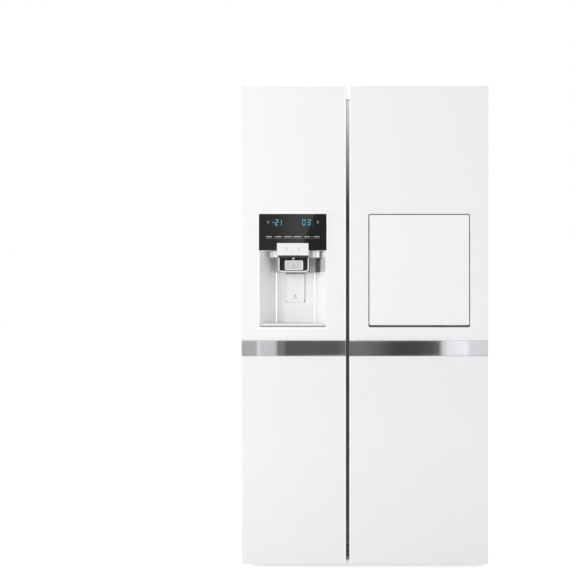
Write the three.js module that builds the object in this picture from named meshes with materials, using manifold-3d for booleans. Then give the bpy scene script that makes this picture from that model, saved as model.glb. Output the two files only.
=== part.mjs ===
// Side by side refrigerator: freezer on the left with an ice and water dispenser, fresh food on the
// right with a drop-down home bar door. Millimetres, +Z up, front towards -Y, origin on the floor
// under the middle of the whole object.
import * as THREE from "three";
import { mergeVertices } from "three/addons/utils/BufferGeometryUtils.js";
import Module from "manifold-3d";

const wasm = await Module();
wasm.setup();

// ---------------------------------------------------------------- driving dimensions
const WIDTH = 895; // across both doors
const DEPTH = 735; // proudest door trim to the rear stand-offs
const DOOR_HEIGHT = 1733;
const DOOR_LIFT = 24; // floor to the doors' lower edge
const TOP_STEP = 28; // doors stand this far above the cabinet top
const FREEZER_DOOR_WIDTH = 378;
const DOOR_GAP = 13;
const CLEAR = 0.3; // between pieces that meet across a joint, or that are cut to each other

// doors
const TRIM_PROUD = 2; // dispenser block in front of the glass
const GLASS = 4;
const DOOR_BODY = 58; // steel pan filled with foam
const GASKET = 10; // seal's thickness when the door is shut
const GASKET_WIDTH = 14;
const GASKET_MARGIN = 6; // seal outside the compartment's mouth
const BAND_DROP = 923; // door top to the top of the mirror band
const BAND_HEIGHT = 56;
const BAND_PROUD = 1;
const BAND_JOINT = 0.8; // gap between band and glass
const GRIP_END = 150; // grip channel ends this far from the door's ends
const GRIP_INSET = 16; // channel's y distance behind the door face
const GRIP_OPEN = 26; // channel's mouth along the door's thickness
const GRIP_DEEP = 17; // channel's depth into the door's edge
const DYKE_GAP = 12; // liner ridge to the compartment's mouth
const DYKE_WALL = 14;
const DYKE_DEEP = 38;
const LINER = 2.5; // all moulded liners

// hinges
const PIN_SIDE = 18; // hinge axis from the door's outer edge
const PIN_BEHIND = 38; // hinge axis behind the door face
const PIN_RADIUS = 5;
const PIN_DEEP = 24; // pin's length inside the door
const HINGE_LIFT = 2; // gap between door end and hinge arm
const HINGE_PLATE = 3;
const HINGE_WIDTH = 46;
const HINGE_TAIL = 90; // hinge plate's length on the cabinet top
const COVER_GAP = 1.5; // hinge arm to the inside of its cover
const COVER_WALL = 2;
const COVER_LENGTH = 150;
const COVER_INSET = 0.5; // cover's side inside the cabinet's side
const COVER_TAIL = 8; // cover's back past the hinge plate
const HINGE_NOSE = 3; // hinge arm in front of its pin
const LEDGE_NOSE = 4; // lower ledge in front of its pin
const FRAME_STEP = 1; // lower hinge and sill behind the cabinet's front plane
const DOOR_SWEEP = 2; // cabinet hardware stays this far behind the cabinet's front plane

// cabinet
const CABINET_INSET = 2; // cabinet side inside the door's side
const SHEET = 1.2; // outer steel wrap
const FACE = 1.5; // front frame's steel
const SIDE_WALL = 40;
const TOP_WALL = 50;
const BACK_WALL = 58;
const MULLION = 72;
const ROOM_FLOOR = 130; // height of both compartments' floors
const REAR_STANDOFF = 14;
const BASE_TOP = 70;
const BASE_BOTTOM = 30;
const BASE_PLATE = 3;
const RAIL_WIDTH = 34;
const BAY_DEPTH = 230;
const BAY_HEIGHT = 260;
const BAY_WALL = 42; // insulation over and in front of the machine bay
const STEP_RISE = 50; // height of the sloped step at the compartments' back

// dispenser, on the freezer door
const DISP_OUTER_SIDE = 63; // from the door's outer edge
const DISP_DROP = 464; // below the door's top
const DISP_INNER_SIDE = 70; // from the door's inner edge
const DISP_HEIGHT = 414;
const DISP_RADIUS = 5;
const PANEL_HEIGHT = 132;
const PANEL_GLASS = 3;
const PANEL_TRAY = 25; // depth of the electronics behind the panel
const RECESS_DEEP = 105;
const RECESS_TAPER = 44; // each side wall leans in by this much
const HOUSING = 3;
const BLOCK_WIDTH = 114;
const BLOCK_RISE = 26; // block's top above the panel's lower edge
const BLOCK_HEIGHT = 44;
const BROW_WIDTH = 170; // shelf behind the block
const BROW_HEIGHT = 24;
const BROW_BEHIND = 20;
const MOUTH_BEHIND = 28; // chute frame behind the glass
const MOUTH_HEIGHT = 59;
const MOUTH_FRAME = 4;
const MOUTH_DEEP = 8;
const DUCT_DEEP = 56;
const DUCT_WALL = 3;
const DUCT_TOP = 92; // duct's inlet above the dispenser's top
const LEVER_WIDTH = 67;
const LEVER_HEIGHT = 34;
const LEVER_DROP = 17; // lever pad below the block
const LEVER_THICK = 6;
const LEVER_SHAFT = 2.5;
const PADDLE_WIDTH = 69;
const PADDLE_HEIGHT = 106;
const PADDLE_THICK = 5;
const PADDLE_DROP = 82; // paddle's top below the panel's lower edge
const PADDLE_GAP = 2;
const PADDLE_POCKET = 17; // room behind the back wall for the paddle's travel
const BUMP_SPACE = 7; // insulation between housing and door liner
const BUMP_SIDE = 38; // the same beside the recess's back wall
const TRAY_HEIGHT = 12;

// home bar, on the fresh food door
const BAR_INNER_SIDE = 69; // from the door's inner edge
const BAR_OUTER_SIDE = 66.5; // from the door's outer edge
const BAR_DROP = 464;
const BAR_HEIGHT = 411;
const BAR_RADIUS = 6;
const BAR_GAP = 3.5;
const BAR_GAP_BELOW = 8;
const BAR_BODY = 34; // home bar door behind its glass
const BAR_STOP = 26; // frame's inner flange
const BAR_FRAME = 4;
const BAR_SEAL = 6;
const BAR_PIN_UP = 10; // pivot above the small door's lower edge
const BAR_PIN_IN = 8; // pivot behind the glass front
const BAR_PIN_RADIUS = 3;

// inside
const SHELF_THICK = 6;
const SHELF_BEZEL = 22;
const SHELF_LIP = 8;
const SHELF_BACK_GAP = 34;
const SHELF_SIDE_GAP = 1;
const ROOM_CLEAR = 118; // shelves start this far behind the cabinet front, clear of the door bins
const RUNNER = 9;
const RUNNER_HEIGHT = 10;
const TUB_WALL = 2.5;
const BIN_DEEP = 92;
const BIN_HEIGHT = 110;

// ---------------------------------------------------------------- derived planes
const FRONT = -DEPTH / 2;
const GLASS_FRONT = FRONT + TRIM_PROUD;
const DOOR_FACE = GLASS_FRONT + GLASS;
const DOOR_BACK = DOOR_FACE + DOOR_BODY;
const CABINET_FRONT = DOOR_BACK + GASKET + CLEAR;
const FACE_BACK = CABINET_FRONT + FACE;
const CABINET_BACK = DEPTH / 2 - REAR_STANDOFF;
const DOOR_TOP = DOOR_LIFT + DOOR_HEIGHT;
const CABINET_TOP = DOOR_TOP - TOP_STEP;
const CABINET_HALF = WIDTH / 2 - CABINET_INSET;
const CORE_HALF = CABINET_HALF - SHEET;
const FREEZER_X = [-WIDTH / 2, -WIDTH / 2 + FREEZER_DOOR_WIDTH];
const FRIDGE_X = [FREEZER_X[1] + DOOR_GAP, WIDTH / 2];
const MULLION_X = FREEZER_X[1] + DOOR_GAP / 2;
const ROOM_CEILING = CABINET_TOP - TOP_WALL;
const ROOM_BACK = CABINET_BACK - BACK_WALL;
const BAY_FRONT = CABINET_BACK - BAY_DEPTH;
const BAY_TOP = BASE_TOP + BAY_HEIGHT;
const ROOM_LOW_BACK = BAY_FRONT - BAY_WALL;
const STEP_LOW = BAY_TOP + BAY_WALL;
const STEP_HIGH = STEP_LOW + STEP_RISE;
const FREEZER_ROOM = [-CABINET_HALF + SIDE_WALL, MULLION_X - MULLION / 2];
const FRIDGE_ROOM = [MULLION_X + MULLION / 2, CABINET_HALF - SIDE_WALL];
const ROOM_Z = [ROOM_FLOOR, ROOM_CEILING];
const PIN_Y = DOOR_FACE + PIN_BEHIND;
const BAND_Z = [DOOR_TOP - BAND_DROP - BAND_HEIGHT, DOOR_TOP - BAND_DROP];
const SHELF_FRONT = CABINET_FRONT + ROOM_CLEAR;
const THROUGH = 20; // how far a cutter runs past what it cuts

const DISP_X = [FREEZER_X[0] + DISP_OUTER_SIDE, FREEZER_X[1] - DISP_INNER_SIDE];
const DISP_WIDTH = DISP_X[1] - DISP_X[0];
const DISP_Z = [DOOR_TOP - DISP_DROP - DISP_HEIGHT, DOOR_TOP - DISP_DROP];
const PANEL_LOW = DISP_Z[1] - PANEL_HEIGHT;
const DISP_MID = (DISP_X[0] + DISP_X[1]) / 2;
const BLOCK_X = [DISP_MID - BLOCK_WIDTH / 2, DISP_MID + BLOCK_WIDTH / 2];
const BLOCK_Z = [PANEL_LOW + BLOCK_RISE - BLOCK_HEIGHT, PANEL_LOW + BLOCK_RISE];
const RECESS_WALL_Y = GLASS_FRONT + RECESS_DEEP;
const HOUSING_BACK = RECESS_WALL_Y + PADDLE_POCKET + HOUSING;
const BUMP_BACK = HOUSING_BACK + BUMP_SPACE + LINER;
const DUCT_FRONT = GLASS_FRONT + MOUTH_BEHIND + MOUTH_DEEP;
const DUCT_Y = [DUCT_FRONT, DUCT_FRONT + DUCT_DEEP];
const DUCT_TOP_Z = DISP_Z[1] + DUCT_TOP;
const RECESS_MOUTH_HALF = DISP_WIDTH / 2 - HOUSING;
const RECESS_BACK_HALF = RECESS_MOUTH_HALF - RECESS_TAPER;

const BAR_X = [FRIDGE_X[0] + BAR_INNER_SIDE, FRIDGE_X[1] - BAR_OUTER_SIDE];
const BAR_Z = [DOOR_TOP - BAR_DROP - BAR_HEIGHT, DOOR_TOP - BAR_DROP];
const BAR_DOOR_X = [BAR_X[0] + BAR_GAP, BAR_X[1] - BAR_GAP];
const BAR_DOOR_Z = [BAR_Z[0] + BAR_GAP_BELOW, BAR_Z[1] - BAR_GAP];
const BAR_DOOR_BACK = DOOR_FACE + BAR_BODY;

// ---------------------------------------------------------------- solids from geometry
function solid(geometry) {
  const bare = geometry.clone();
  bare.deleteAttribute("normal");
  bare.deleteAttribute("uv");
  const merged = mergeVertices(bare, 1e-4);
  const vertProperties = new Float32Array(merged.attributes.position.array);
  const triVerts = new Uint32Array(merged.index.array);
  return new wasm.Manifold(new wasm.Mesh({ numProp: 3, vertProperties, triVerts }));
}

function surface(manifold) {
  const mesh = manifold.getMesh();
  const geometry = new THREE.BufferGeometry();
  geometry.setAttribute("position", new THREE.BufferAttribute(mesh.vertProperties, 3));
  geometry.setIndex(new THREE.BufferAttribute(mesh.triVerts, 1));
  geometry.computeVertexNormals();
  return geometry;
}

function join(...solids) {
  return solids.reduce((all, next) => all.add(next));
}

function cut(from, ...cutters) {
  return cutters.reduce((left, next) => left.subtract(next), from);
}

function moved(geometry, x, y, z) {
  return solid(geometry.translate(x, y, z));
}

// a plain block whose corners lie exactly on three pairs of coordinates, so that touching blocks meet
function block(x, y, z) {
  const box = new THREE.BoxGeometry();
  const corners = box.getAttribute("position");
  for (let i = 0; i < corners.count; i += 1) {
    const [atX, atY, atZ] = [corners.getX(i), corners.getY(i), corners.getZ(i)].map((at) => Number(at > 0));
    corners.setXYZ(i, x[atX], y[atY], z[atZ]);
  }
  return solid(box);
}

function polygon(points) {
  return new THREE.Shape(points.map(([u, v]) => new THREE.Vector2(u, v)));
}

function roundRect(u, v, radius) {
  const shape = new THREE.Shape();
  shape.absarc(u[1] - radius, v[1] - radius, radius, 0, Math.PI / 2);
  shape.absarc(u[0] + radius, v[1] - radius, radius, Math.PI / 2, Math.PI);
  shape.absarc(u[0] + radius, v[0] + radius, radius, Math.PI, Math.PI * 1.5);
  shape.absarc(u[1] - radius, v[0] + radius, radius, Math.PI * 1.5, Math.PI * 2);
  return shape;
}

function slab(shape, depth, basis, curveSegments = 3) {
  const geometry = new THREE.ExtrudeGeometry(shape, { depth, bevelEnabled: false, curveSegments });
  return geometry.applyMatrix4(basis);
}

// outlines drawn in X and Z, Y and Z, or X and Y, and given thickness along the third axis
function slabY(shape, y, curveSegments) {
  const axes = [new THREE.Vector3(1, 0, 0), new THREE.Vector3(0, 0, 1), new THREE.Vector3(0, -1, 0)];
  const basis = new THREE.Matrix4().makeBasis(...axes);
  return moved(slab(shape, y[1] - y[0], basis, curveSegments), 0, y[1], 0);
}

function slabX(shape, x, curveSegments) {
  const axes = [new THREE.Vector3(0, 1, 0), new THREE.Vector3(0, 0, 1), new THREE.Vector3(1, 0, 0)];
  const basis = new THREE.Matrix4().makeBasis(...axes);
  return moved(slab(shape, x[1] - x[0], basis, curveSegments), x[0], 0, 0);
}

function slabZ(shape, z, curveSegments) {
  return moved(slab(shape, z[1] - z[0], new THREE.Matrix4(), curveSegments), 0, 0, z[0]);
}

function rodX(radius, x, y, z, sides = 20) {
  const rod = new THREE.CylinderGeometry(radius, radius, x[1] - x[0], sides).rotateZ(Math.PI / 2);
  return moved(rod, (x[0] + x[1]) / 2, y, z);
}

function rodY(radius, x, y, z, sides = 20) {
  const rod = new THREE.CylinderGeometry(radius, radius, y[1] - y[0], sides);
  return moved(rod, x, (y[0] + y[1]) / 2, z);
}

function rodZ(radius, x, y, z, sides = 20) {
  const rod = new THREE.CylinderGeometry(radius, radius, z[1] - z[0], sides).rotateX(Math.PI / 2);
  return moved(rod, x, y, (z[0] + z[1]) / 2);
}

// pairs of coordinates grown outwards, or shrunk with a negative amount
function grown(pair, by) {
  return [pair[0] - by, pair[1] + by];
}

// a rectangular ring in X and Z
function ringY(x, z, wall, y) {
  return cut(block(x, y, z), block(grown(x, -wall), grown(y, THROUGH), grown(z, -wall)));
}

// an open-topped tub
function tub(x, y, z, wall) {
  const inside = [z[0] + wall, z[1] + THROUGH];
  return cut(block(x, y, z), block(grown(x, -wall), grown(y, -wall), inside));
}

// ---------------------------------------------------------------- the object's tree
const model = new THREE.Group();

function addNode(name, manifold, look) {
  const mesh = new THREE.Mesh(surface(manifold), new THREE.MeshStandardMaterial(look));
  mesh.name = name;
  model.add(mesh);
}

const WHITE_GLASS = { color: 0xf2f2f4, roughness: 0.08, metalness: 0 };
const WHITE_STEEL = { color: 0xeeeeef, roughness: 0.35, metalness: 0 };
const WHITE_PLASTIC = { color: 0xf0f0f0, roughness: 0.4, metalness: 0 };
const GREY_PLASTIC = { color: 0xc4c6c8, roughness: 0.45, metalness: 0 };
const BLACK_PLASTIC = { color: 0x232325, roughness: 0.5, metalness: 0 };
const BLACK_GLASS = { color: 0x2c2c2e, roughness: 0.08, metalness: 0 };
const MIRROR_METAL = { color: 0x8c8c90, roughness: 0.05, metalness: 1 };
const ZINC_STEEL = { color: 0xa8aaad, roughness: 0.4, metalness: 1 };
const BLACK_STEEL = { color: 0x1c1c1e, roughness: 0.5, metalness: 0.2 };
const COPPER_TUBE = { color: 0xb87348, roughness: 0.35, metalness: 1 };
const ALUMINIUM = { color: 0xc6c8ca, roughness: 0.35, metalness: 1 };
const RUBBER = { color: 0xd8d8d8, roughness: 0.8, metalness: 0 };
const DARK_RUBBER = { color: 0x2a2a2a, roughness: 0.85, metalness: 0 };
const CLEAR_PLASTIC = { color: 0xdfe8ec, roughness: 0.15, metalness: 0, transparent: true, opacity: 0.5 };
const SHELF_GLASS = { color: 0xd5e6e2, roughness: 0.08, metalness: 0, transparent: true, opacity: 0.5 };
const FOAM = { color: 0xe8dfae, roughness: 0.95, metalness: 0 };

// ---------------------------------------------------------------- cabinet
// side outline of a compartment, grown outwards where its liner has thickness
function roomProfile(front, grow) {
  return polygon([
    [front, ROOM_FLOOR - grow],
    [ROOM_LOW_BACK + grow, ROOM_FLOOR - grow],
    [ROOM_LOW_BACK + grow, STEP_LOW - grow],
    [ROOM_BACK + grow, STEP_HIGH - grow],
    [ROOM_BACK + grow, ROOM_CEILING + grow],
    [front, ROOM_CEILING + grow],
  ]);
}

function roomBlock(x, front, grow) {
  return slabX(roomProfile(front, grow), grown(x, grow));
}

function cabinetShell() {
  const outer = block([-CABINET_HALF, CABINET_HALF], [FACE_BACK, CABINET_BACK], [BASE_BOTTOM, CABINET_TOP]);
  const inner = block([-CORE_HALF, CORE_HALF], [FACE_BACK - THROUGH, CABINET_BACK + THROUGH],
    [BASE_BOTTOM - THROUGH, CABINET_TOP - SHEET]);
  return cut(outer, inner);
}

function cabinetFoam() {
  const side = polygon([
    [FACE_BACK, BASE_TOP],
    [BAY_FRONT, BASE_TOP],
    [BAY_FRONT, BAY_TOP],
    [CABINET_BACK - SHEET, BAY_TOP],
    [CABINET_BACK - SHEET, CABINET_TOP - SHEET],
    [FACE_BACK, CABINET_TOP - SHEET],
  ]);
  const core = slabX(side, [-CORE_HALF, CORE_HALF]);
  const rooms = [FREEZER_ROOM, FRIDGE_ROOM].map((x) => roomBlock(x, FACE_BACK - THROUGH, LINER));
  return cut(core, ...rooms);
}

function runners(x, heights) {
  const y = [SHELF_FRONT, ROOM_LOW_BACK - SHELF_BACK_GAP];
  return heights.flatMap((z) => [
    block([x[0] - LINER / 2, x[0] + RUNNER], y, [z - RUNNER_HEIGHT, z]),
    block([x[1] - RUNNER, x[1] + LINER / 2], y, [z - RUNNER_HEIGHT, z]),
  ]);
}

function roomLiner(x, heights) {
  const shell = cut(roomBlock(x, FACE_BACK, LINER), roomBlock(x, FACE_BACK - THROUGH, 0));
  return join(shell, ...runners(x, heights));
}

function faceFrame() {
  const plate = block([-CABINET_HALF, CABINET_HALF], [CABINET_FRONT, FACE_BACK], [BASE_TOP, CABINET_TOP]);
  const through = [CABINET_FRONT - THROUGH, FACE_BACK + THROUGH];
  return cut(plate, block(FREEZER_ROOM, through, ROOM_Z), block(FRIDGE_ROOM, through, ROOM_Z));
}

function backPanel() {
  const y = [CABINET_BACK - SHEET, CABINET_BACK];
  return block([-CORE_HALF, CORE_HALF], y, [BAY_TOP, CABINET_TOP - SHEET]);
}

// ---------------------------------------------------------------- base, feet and rollers
const ROLLER_RADIUS = 21;
const ROLLER_WIDTH = 16;
const AXLE_RADIUS = 4;
const ROLLER_FROM_BACK = 46;
const EAR = 3;
const EAR_GAP = 1; // roller's side to its bracket ears
const ROLLER_FROM_SIDE = 70;
const FOOT_FROM_SIDE = 44;
const FOOT_FROM_FRONT = 44;
const FOOT_PAD = 19;
const FOOT_PAD_HEIGHT = 12;
const STUD_RADIUS = 6;
const BOSS_RADIUS = 13;
const NUT_RADIUS = 11;
const NUT_HEIGHT = 7;
const EAR_TOP_HALF = 24; // ear's half length at the base plate
const EAR_LOW_HALF = 9; // and at its lower end
const EAR_SHORT = 8; // ear's lower end above the axle's height less this
const SILL = 4;
const GRILLE_DEEP = 6; // kick grille in front of the cabinet's front plane
const GRILLE_SIDE = 26; // grille's end from the hinge plate's width
const GRILLE_SLOTS = 14;
const GRILLE_SLOT_HEIGHT = 8;
const GRILLE_ROWS = [4, 20]; // slots' lower edges above the doors' lower edge
const ROLLER_Y = CABINET_BACK - ROLLER_FROM_BACK;
const FOOT_Y = CABINET_FRONT + FOOT_FROM_FRONT;

function rollerX(side) {
  return side * (CABINET_HALF - ROLLER_FROM_SIDE);
}

function footX(side) {
  return side * (CABINET_HALF - FOOT_FROM_SIDE);
}

function axleSpan(side) {
  return grown([rollerX(side), rollerX(side)], ROLLER_WIDTH / 2 + EAR_GAP + EAR);
}

// two ears that hang from the base plate and hold a roller's axle
function rollerEars(side) {
  const outside = axleSpan(side);
  const tongue = polygon([
    [ROLLER_Y - EAR_TOP_HALF, BASE_TOP - BASE_PLATE],
    [ROLLER_Y - EAR_LOW_HALF, ROLLER_RADIUS - EAR_SHORT],
    [ROLLER_Y + EAR_LOW_HALF, ROLLER_RADIUS - EAR_SHORT],
    [ROLLER_Y + EAR_TOP_HALF, BASE_TOP - BASE_PLATE],
  ]);
  const both = slabX(tongue, outside);
  const middle = grown(outside, -EAR);
  const slot = block(middle, grown([ROLLER_Y, ROLLER_Y], EAR_TOP_HALF + THROUGH), [0, BASE_TOP - BASE_PLATE]);
  const bore = rodX(AXLE_RADIUS + CLEAR, grown(outside, THROUGH), ROLLER_Y, ROLLER_RADIUS, 24);
  return cut(both, slot, bore);
}

function baseFrame() {
  const front = CABINET_FRONT + HINGE_PLATE + FRAME_STEP;
  const back = CABINET_BACK - SHEET * 2;
  const plateZ = [BASE_TOP - BASE_PLATE, BASE_TOP];
  const railZ = [BASE_BOTTOM + 2, BASE_TOP - BASE_PLATE / 2];
  const plate = block([-CORE_HALF, CORE_HALF], [front, back], plateZ);
  const left = block([-CORE_HALF, -CORE_HALF + RAIL_WIDTH], [front, back], railZ);
  const right = block([CORE_HALF - RAIL_WIDTH, CORE_HALF], [front, back], railZ);
  const sill = block([-CORE_HALF, CORE_HALF], [front, front + SILL], railZ);
  const bosses = [-1, 1].map((side) => rodZ(BOSS_RADIUS, footX(side), FOOT_Y, railZ));
  const bores = [-1, 1].map((side) =>
    rodZ(STUD_RADIUS + CLEAR, footX(side), FOOT_Y, [0, BASE_TOP - BASE_PLATE]));
  const ears = [-1, 1].map(rollerEars);
  return join(cut(join(plate, left, right, sill, ...bosses), ...bores), ...ears);
}

function levellingFoot(side) {
  const pad = rodZ(FOOT_PAD, footX(side), FOOT_Y, [0, FOOT_PAD_HEIGHT], 24);
  const nut = rodZ(NUT_RADIUS, footX(side), FOOT_Y, [FOOT_PAD_HEIGHT - 1, FOOT_PAD_HEIGHT + NUT_HEIGHT], 6);
  const stud = rodZ(STUD_RADIUS, footX(side), FOOT_Y, [FOOT_PAD_HEIGHT, BASE_TOP - BASE_PLATE - CLEAR]);
  return join(pad, nut, stud);
}

function rearRoller(side) {
  const x = rollerX(side);
  const half = ROLLER_WIDTH / 2;
  const wheel = rodX(ROLLER_RADIUS, [x - half, x + half], ROLLER_Y, ROLLER_RADIUS, 32);
  const axle = rodX(AXLE_RADIUS, axleSpan(side), ROLLER_Y, ROLLER_RADIUS, 24);
  return join(wheel, axle);
}

function kickGrille() {
  const x = grown([-CABINET_HALF, CABINET_HALF], -(HINGE_WIDTH + GRILLE_SIDE));
  const front = CABINET_FRONT - GRILLE_DEEP;
  const back = CABINET_FRONT + HINGE_PLATE + FRAME_STEP;
  const plate = block(x, [front, back], [DOOR_LIFT - 10, BASE_TOP - 2]);
  const through = grown([front, back], THROUGH);
  const pitch = (x[1] - x[0]) / GRILLE_SLOTS;
  const slots = [];
  for (let i = 0; i < GRILLE_SLOTS; i += 1) {
    const left = x[0] + pitch * (i + 0.14);
    for (const up of GRILLE_ROWS) {
      const low = DOOR_LIFT + up;
      slots.push(block([left, left + pitch * 0.72], through, [low, low + GRILLE_SLOT_HEIGHT]));
    }
  }
  return cut(plate, ...slots);
}

// ---------------------------------------------------------------- hinges
function pinX(side) {
  return side * (WIDTH / 2 - PIN_SIDE);
}

// the hinge plate's width, kept inside the cabinet's side
function hingeX(side) {
  const outer = side * (CABINET_HALF - COVER_INSET - COVER_WALL - COVER_GAP);
  return [outer, outer - side * HINGE_WIDTH].sort((a, b) => a - b);
}

// plate on the cabinet top, stepped up and forward over the door, with the pin hanging from it
function topHinge(side) {
  const arm = DOOR_TOP + HINGE_LIFT;
  const riser = CABINET_FRONT + DOOR_SWEEP + COVER_WALL + COVER_GAP;
  const tail = riser + HINGE_TAIL;
  const nose = PIN_Y - PIN_RADIUS - HINGE_NOSE;
  const outline = polygon([
    [nose, arm],
    [riser, arm],
    [riser, CABINET_TOP],
    [tail, CABINET_TOP],
    [tail, CABINET_TOP + HINGE_PLATE],
    [riser + HINGE_PLATE, CABINET_TOP + HINGE_PLATE],
    [riser + HINGE_PLATE, arm + HINGE_PLATE],
    [nose, arm + HINGE_PLATE],
  ]);
  const plate = slabX(outline, hingeX(side));
  const pin = rodZ(PIN_RADIUS, pinX(side), PIN_Y, [DOOR_TOP - PIN_DEEP, arm + HINGE_PLATE / 2], 24);
  return join(plate, pin);
}

// angle on the base frame's front, with a ledge under the door that holds the lower pin
function bottomHinge(side) {
  const ledge = DOOR_LIFT - HINGE_LIFT;
  const nose = PIN_Y - PIN_RADIUS - LEDGE_NOSE;
  const front = CABINET_FRONT + FRAME_STEP;
  const outline = polygon([
    [nose, ledge - HINGE_PLATE],
    [front + HINGE_PLATE, ledge - HINGE_PLATE],
    [front + HINGE_PLATE, BASE_TOP],
    [front, BASE_TOP],
    [front, ledge],
    [nose, ledge],
  ]);
  const plate = slabX(outline, hingeX(side));
  const pin = rodZ(PIN_RADIUS, pinX(side), PIN_Y, [ledge - HINGE_PLATE / 2, DOOR_LIFT + PIN_DEEP], 24);
  return join(plate, pin);
}

// side view of a hinge cover: over the door behind its front edge, and down to the cabinet behind it
function coverProfile(shrink, below) {
  const front = PIN_Y - PIN_RADIUS - HINGE_NOSE - COVER_GAP - COVER_WALL + shrink;
  const drop = CABINET_FRONT + DOOR_SWEEP + shrink;
  const back = CABINET_FRONT + DOOR_SWEEP + COVER_WALL + COVER_GAP + HINGE_TAIL + COVER_TAIL - shrink;
  const top = DOOR_TOP + HINGE_LIFT + HINGE_PLATE + COVER_GAP + COVER_WALL - shrink;
  return polygon([
    [front, DOOR_TOP + HINGE_LIFT / 2 - below],
    [drop, DOOR_TOP + HINGE_LIFT / 2 - below],
    [drop, CABINET_TOP - below],
    [back, CABINET_TOP - below],
    [back, top],
    [front, top],
  ]);
}

function hingeCover(side) {
  const outer = side * (CABINET_HALF - COVER_INSET);
  const x = [outer, outer - side * COVER_LENGTH].sort((a, b) => a - b);
  const shell = slabX(coverProfile(0, 0), x);
  const hollow = slabX(coverProfile(COVER_WALL, THROUGH), grown(x, -COVER_WALL));
  return cut(shell, hollow);
}

// ---------------------------------------------------------------- machine bay
const COMPRESSOR_X = -CORE_HALF + 194.3;
const COMPRESSOR_Y = CABINET_BACK - BAY_DEPTH / 2;
const COMPRESSOR_HEIGHT = 176;
const COMPRESSOR_TOP = BASE_TOP + COMPRESSOR_HEIGHT;
const MOUNT_HALF = [112, 74]; // mounting plate's half sizes along X and Y
const GROMMET_AT = [94, 56]; // grommets from the compressor's middle
const GROMMET_RADIUS = 11;

function compressor() {
  const profile = [
    [0, 12], [72, 12], [86, 26], [90, 60], [94, 62], [94, 72], [90, 74], [86, 128], [70, 158], [42, 170],
    [36, COMPRESSOR_HEIGHT], [0, COMPRESSOR_HEIGHT],
  ].map(([r, z]) => new THREE.Vector2(r, z));
  const dome = new THREE.LatheGeometry(profile, 20).rotateX(Math.PI / 2);
  const [halfX, halfY] = MOUNT_HALF;
  const foot = slabZ(roundRect([-halfX, halfX], [-halfY, halfY], 16), [8, 14]);
  const posts = [-1, 1].flatMap((a) => [-1, 1].map((b) =>
    rodZ(GROMMET_RADIUS, a * GROMMET_AT[0], b * GROMMET_AT[1], [0, 12], 12)));
  const stub = rodX(5, [80, 118], -20, 110, 10);
  return join(solid(dome), foot, ...posts, stub).translate([COMPRESSOR_X, COMPRESSOR_Y, BASE_TOP]);
}

// rows of tube joined by half-turn bends, standing in the plane of X and Z
function serpentine({ x, y, z, rows, pitch, radius, sides }) {
  const parts = [];
  for (let row = 0; row < rows; row += 1) {
    const height = z + row * pitch;
    parts.push(rodX(radius, grown(x, 0.5), y, height, sides));
    if (row < rows - 1) {
      const [end, turn] = row % 2 ? [x[0], -1] : [x[1], 1];
      parts.push(bend({ x: end, y, z: height + pitch / 2, turn, pitch, radius, sides }));
    }
  }
  return join(...parts);
}

function bend({ x, y, z, turn, pitch, radius, sides }) {
  const steps = 6;
  const points = [];
  for (let i = 0; i <= steps; i += 1) {
    const angle = -Math.PI / 2 + (Math.PI * i) / steps;
    const out = (turn * Math.cos(angle) * pitch) / 2;
    points.push(new THREE.Vector3(x + out, y, z + (Math.sin(angle) * pitch) / 2));
  }
  const path = new THREE.CatmullRomCurve3(points);
  const section = new THREE.Shape().absarc(0, 0, radius, 0, Math.PI * 2);
  const options = { steps, extrudePath: path, curveSegments: sides / 2, bevelEnabled: false };
  return solid(new THREE.ExtrudeGeometry(section, options));
}

const CONDENSER_X = [COMPRESSOR_X + 380, CORE_HALF - 78.3];
const CONDENSER_ROWS = 8;
const CONDENSER_PITCH = 26;
const COIL_TUBE = 4.5; // radius of the coils' tubes
const CONDENSER_PLATE = 16; // half depth of the condenser's end plates

function condenserCoil() {
  const y = CABINET_BACK - 72;
  const low = BASE_TOP + 22;
  const high = low + (CONDENSER_ROWS - 1) * CONDENSER_PITCH + 14;
  const tubes = serpentine({
    x: CONDENSER_X, y, z: low, rows: CONDENSER_ROWS, pitch: CONDENSER_PITCH, radius: COIL_TUBE, sides: 6,
  });
  const deep = grown([y, y], CONDENSER_PLATE);
  const plates = grown(CONDENSER_X, -14).map((x) => block([x - 1, x + 1], deep, [BASE_TOP, high]));
  return join(tubes, ...plates);
}

// blades and hub around +Z at the origin, with a shaft towards -Z
function fanRotor({ radius, hub, blades, width, pitch, shaft, reach }) {
  const parts = [rodZ(hub, 0, 0, [-width / 2, width / 2], 20), rodZ(shaft, 0, 0, [-reach, 0], 12)];
  for (let i = 0; i < blades; i += 1) {
    const outline = polygon([[hub - 3, -9], [radius * 0.6, -20], [radius * 0.97, -15], [radius, 4],
      [radius * 0.8, 16], [hub - 3, 9]]);
    const blade = new THREE.ExtrudeGeometry(outline, { depth: 2, bevelEnabled: false });
    blade.translate(0, 0, -1).rotateX(pitch).rotateZ((i * Math.PI * 2) / blades);
    parts.push(solid(blade));
  }
  return join(...parts);
}

const FAN_RADIUS = 78;
const FAN_SHAFT = 3;
const FAN_X = COMPRESSOR_X + 310;
const FAN_Y = CABINET_BACK - 112;
const FAN_Z = BASE_TOP + 122;
const FAN_MOTOR = 24; // motor's front face behind the blades' middle
const SHROUD_Y = [FAN_Y - 106, FAN_Y + 98];
const SHROUD_HEIGHT = 240;
const SHROUD_HALF = 4; // half of the shroud plate's thickness
const ARM_HALF = 4; // half of a motor arm's width

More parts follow.
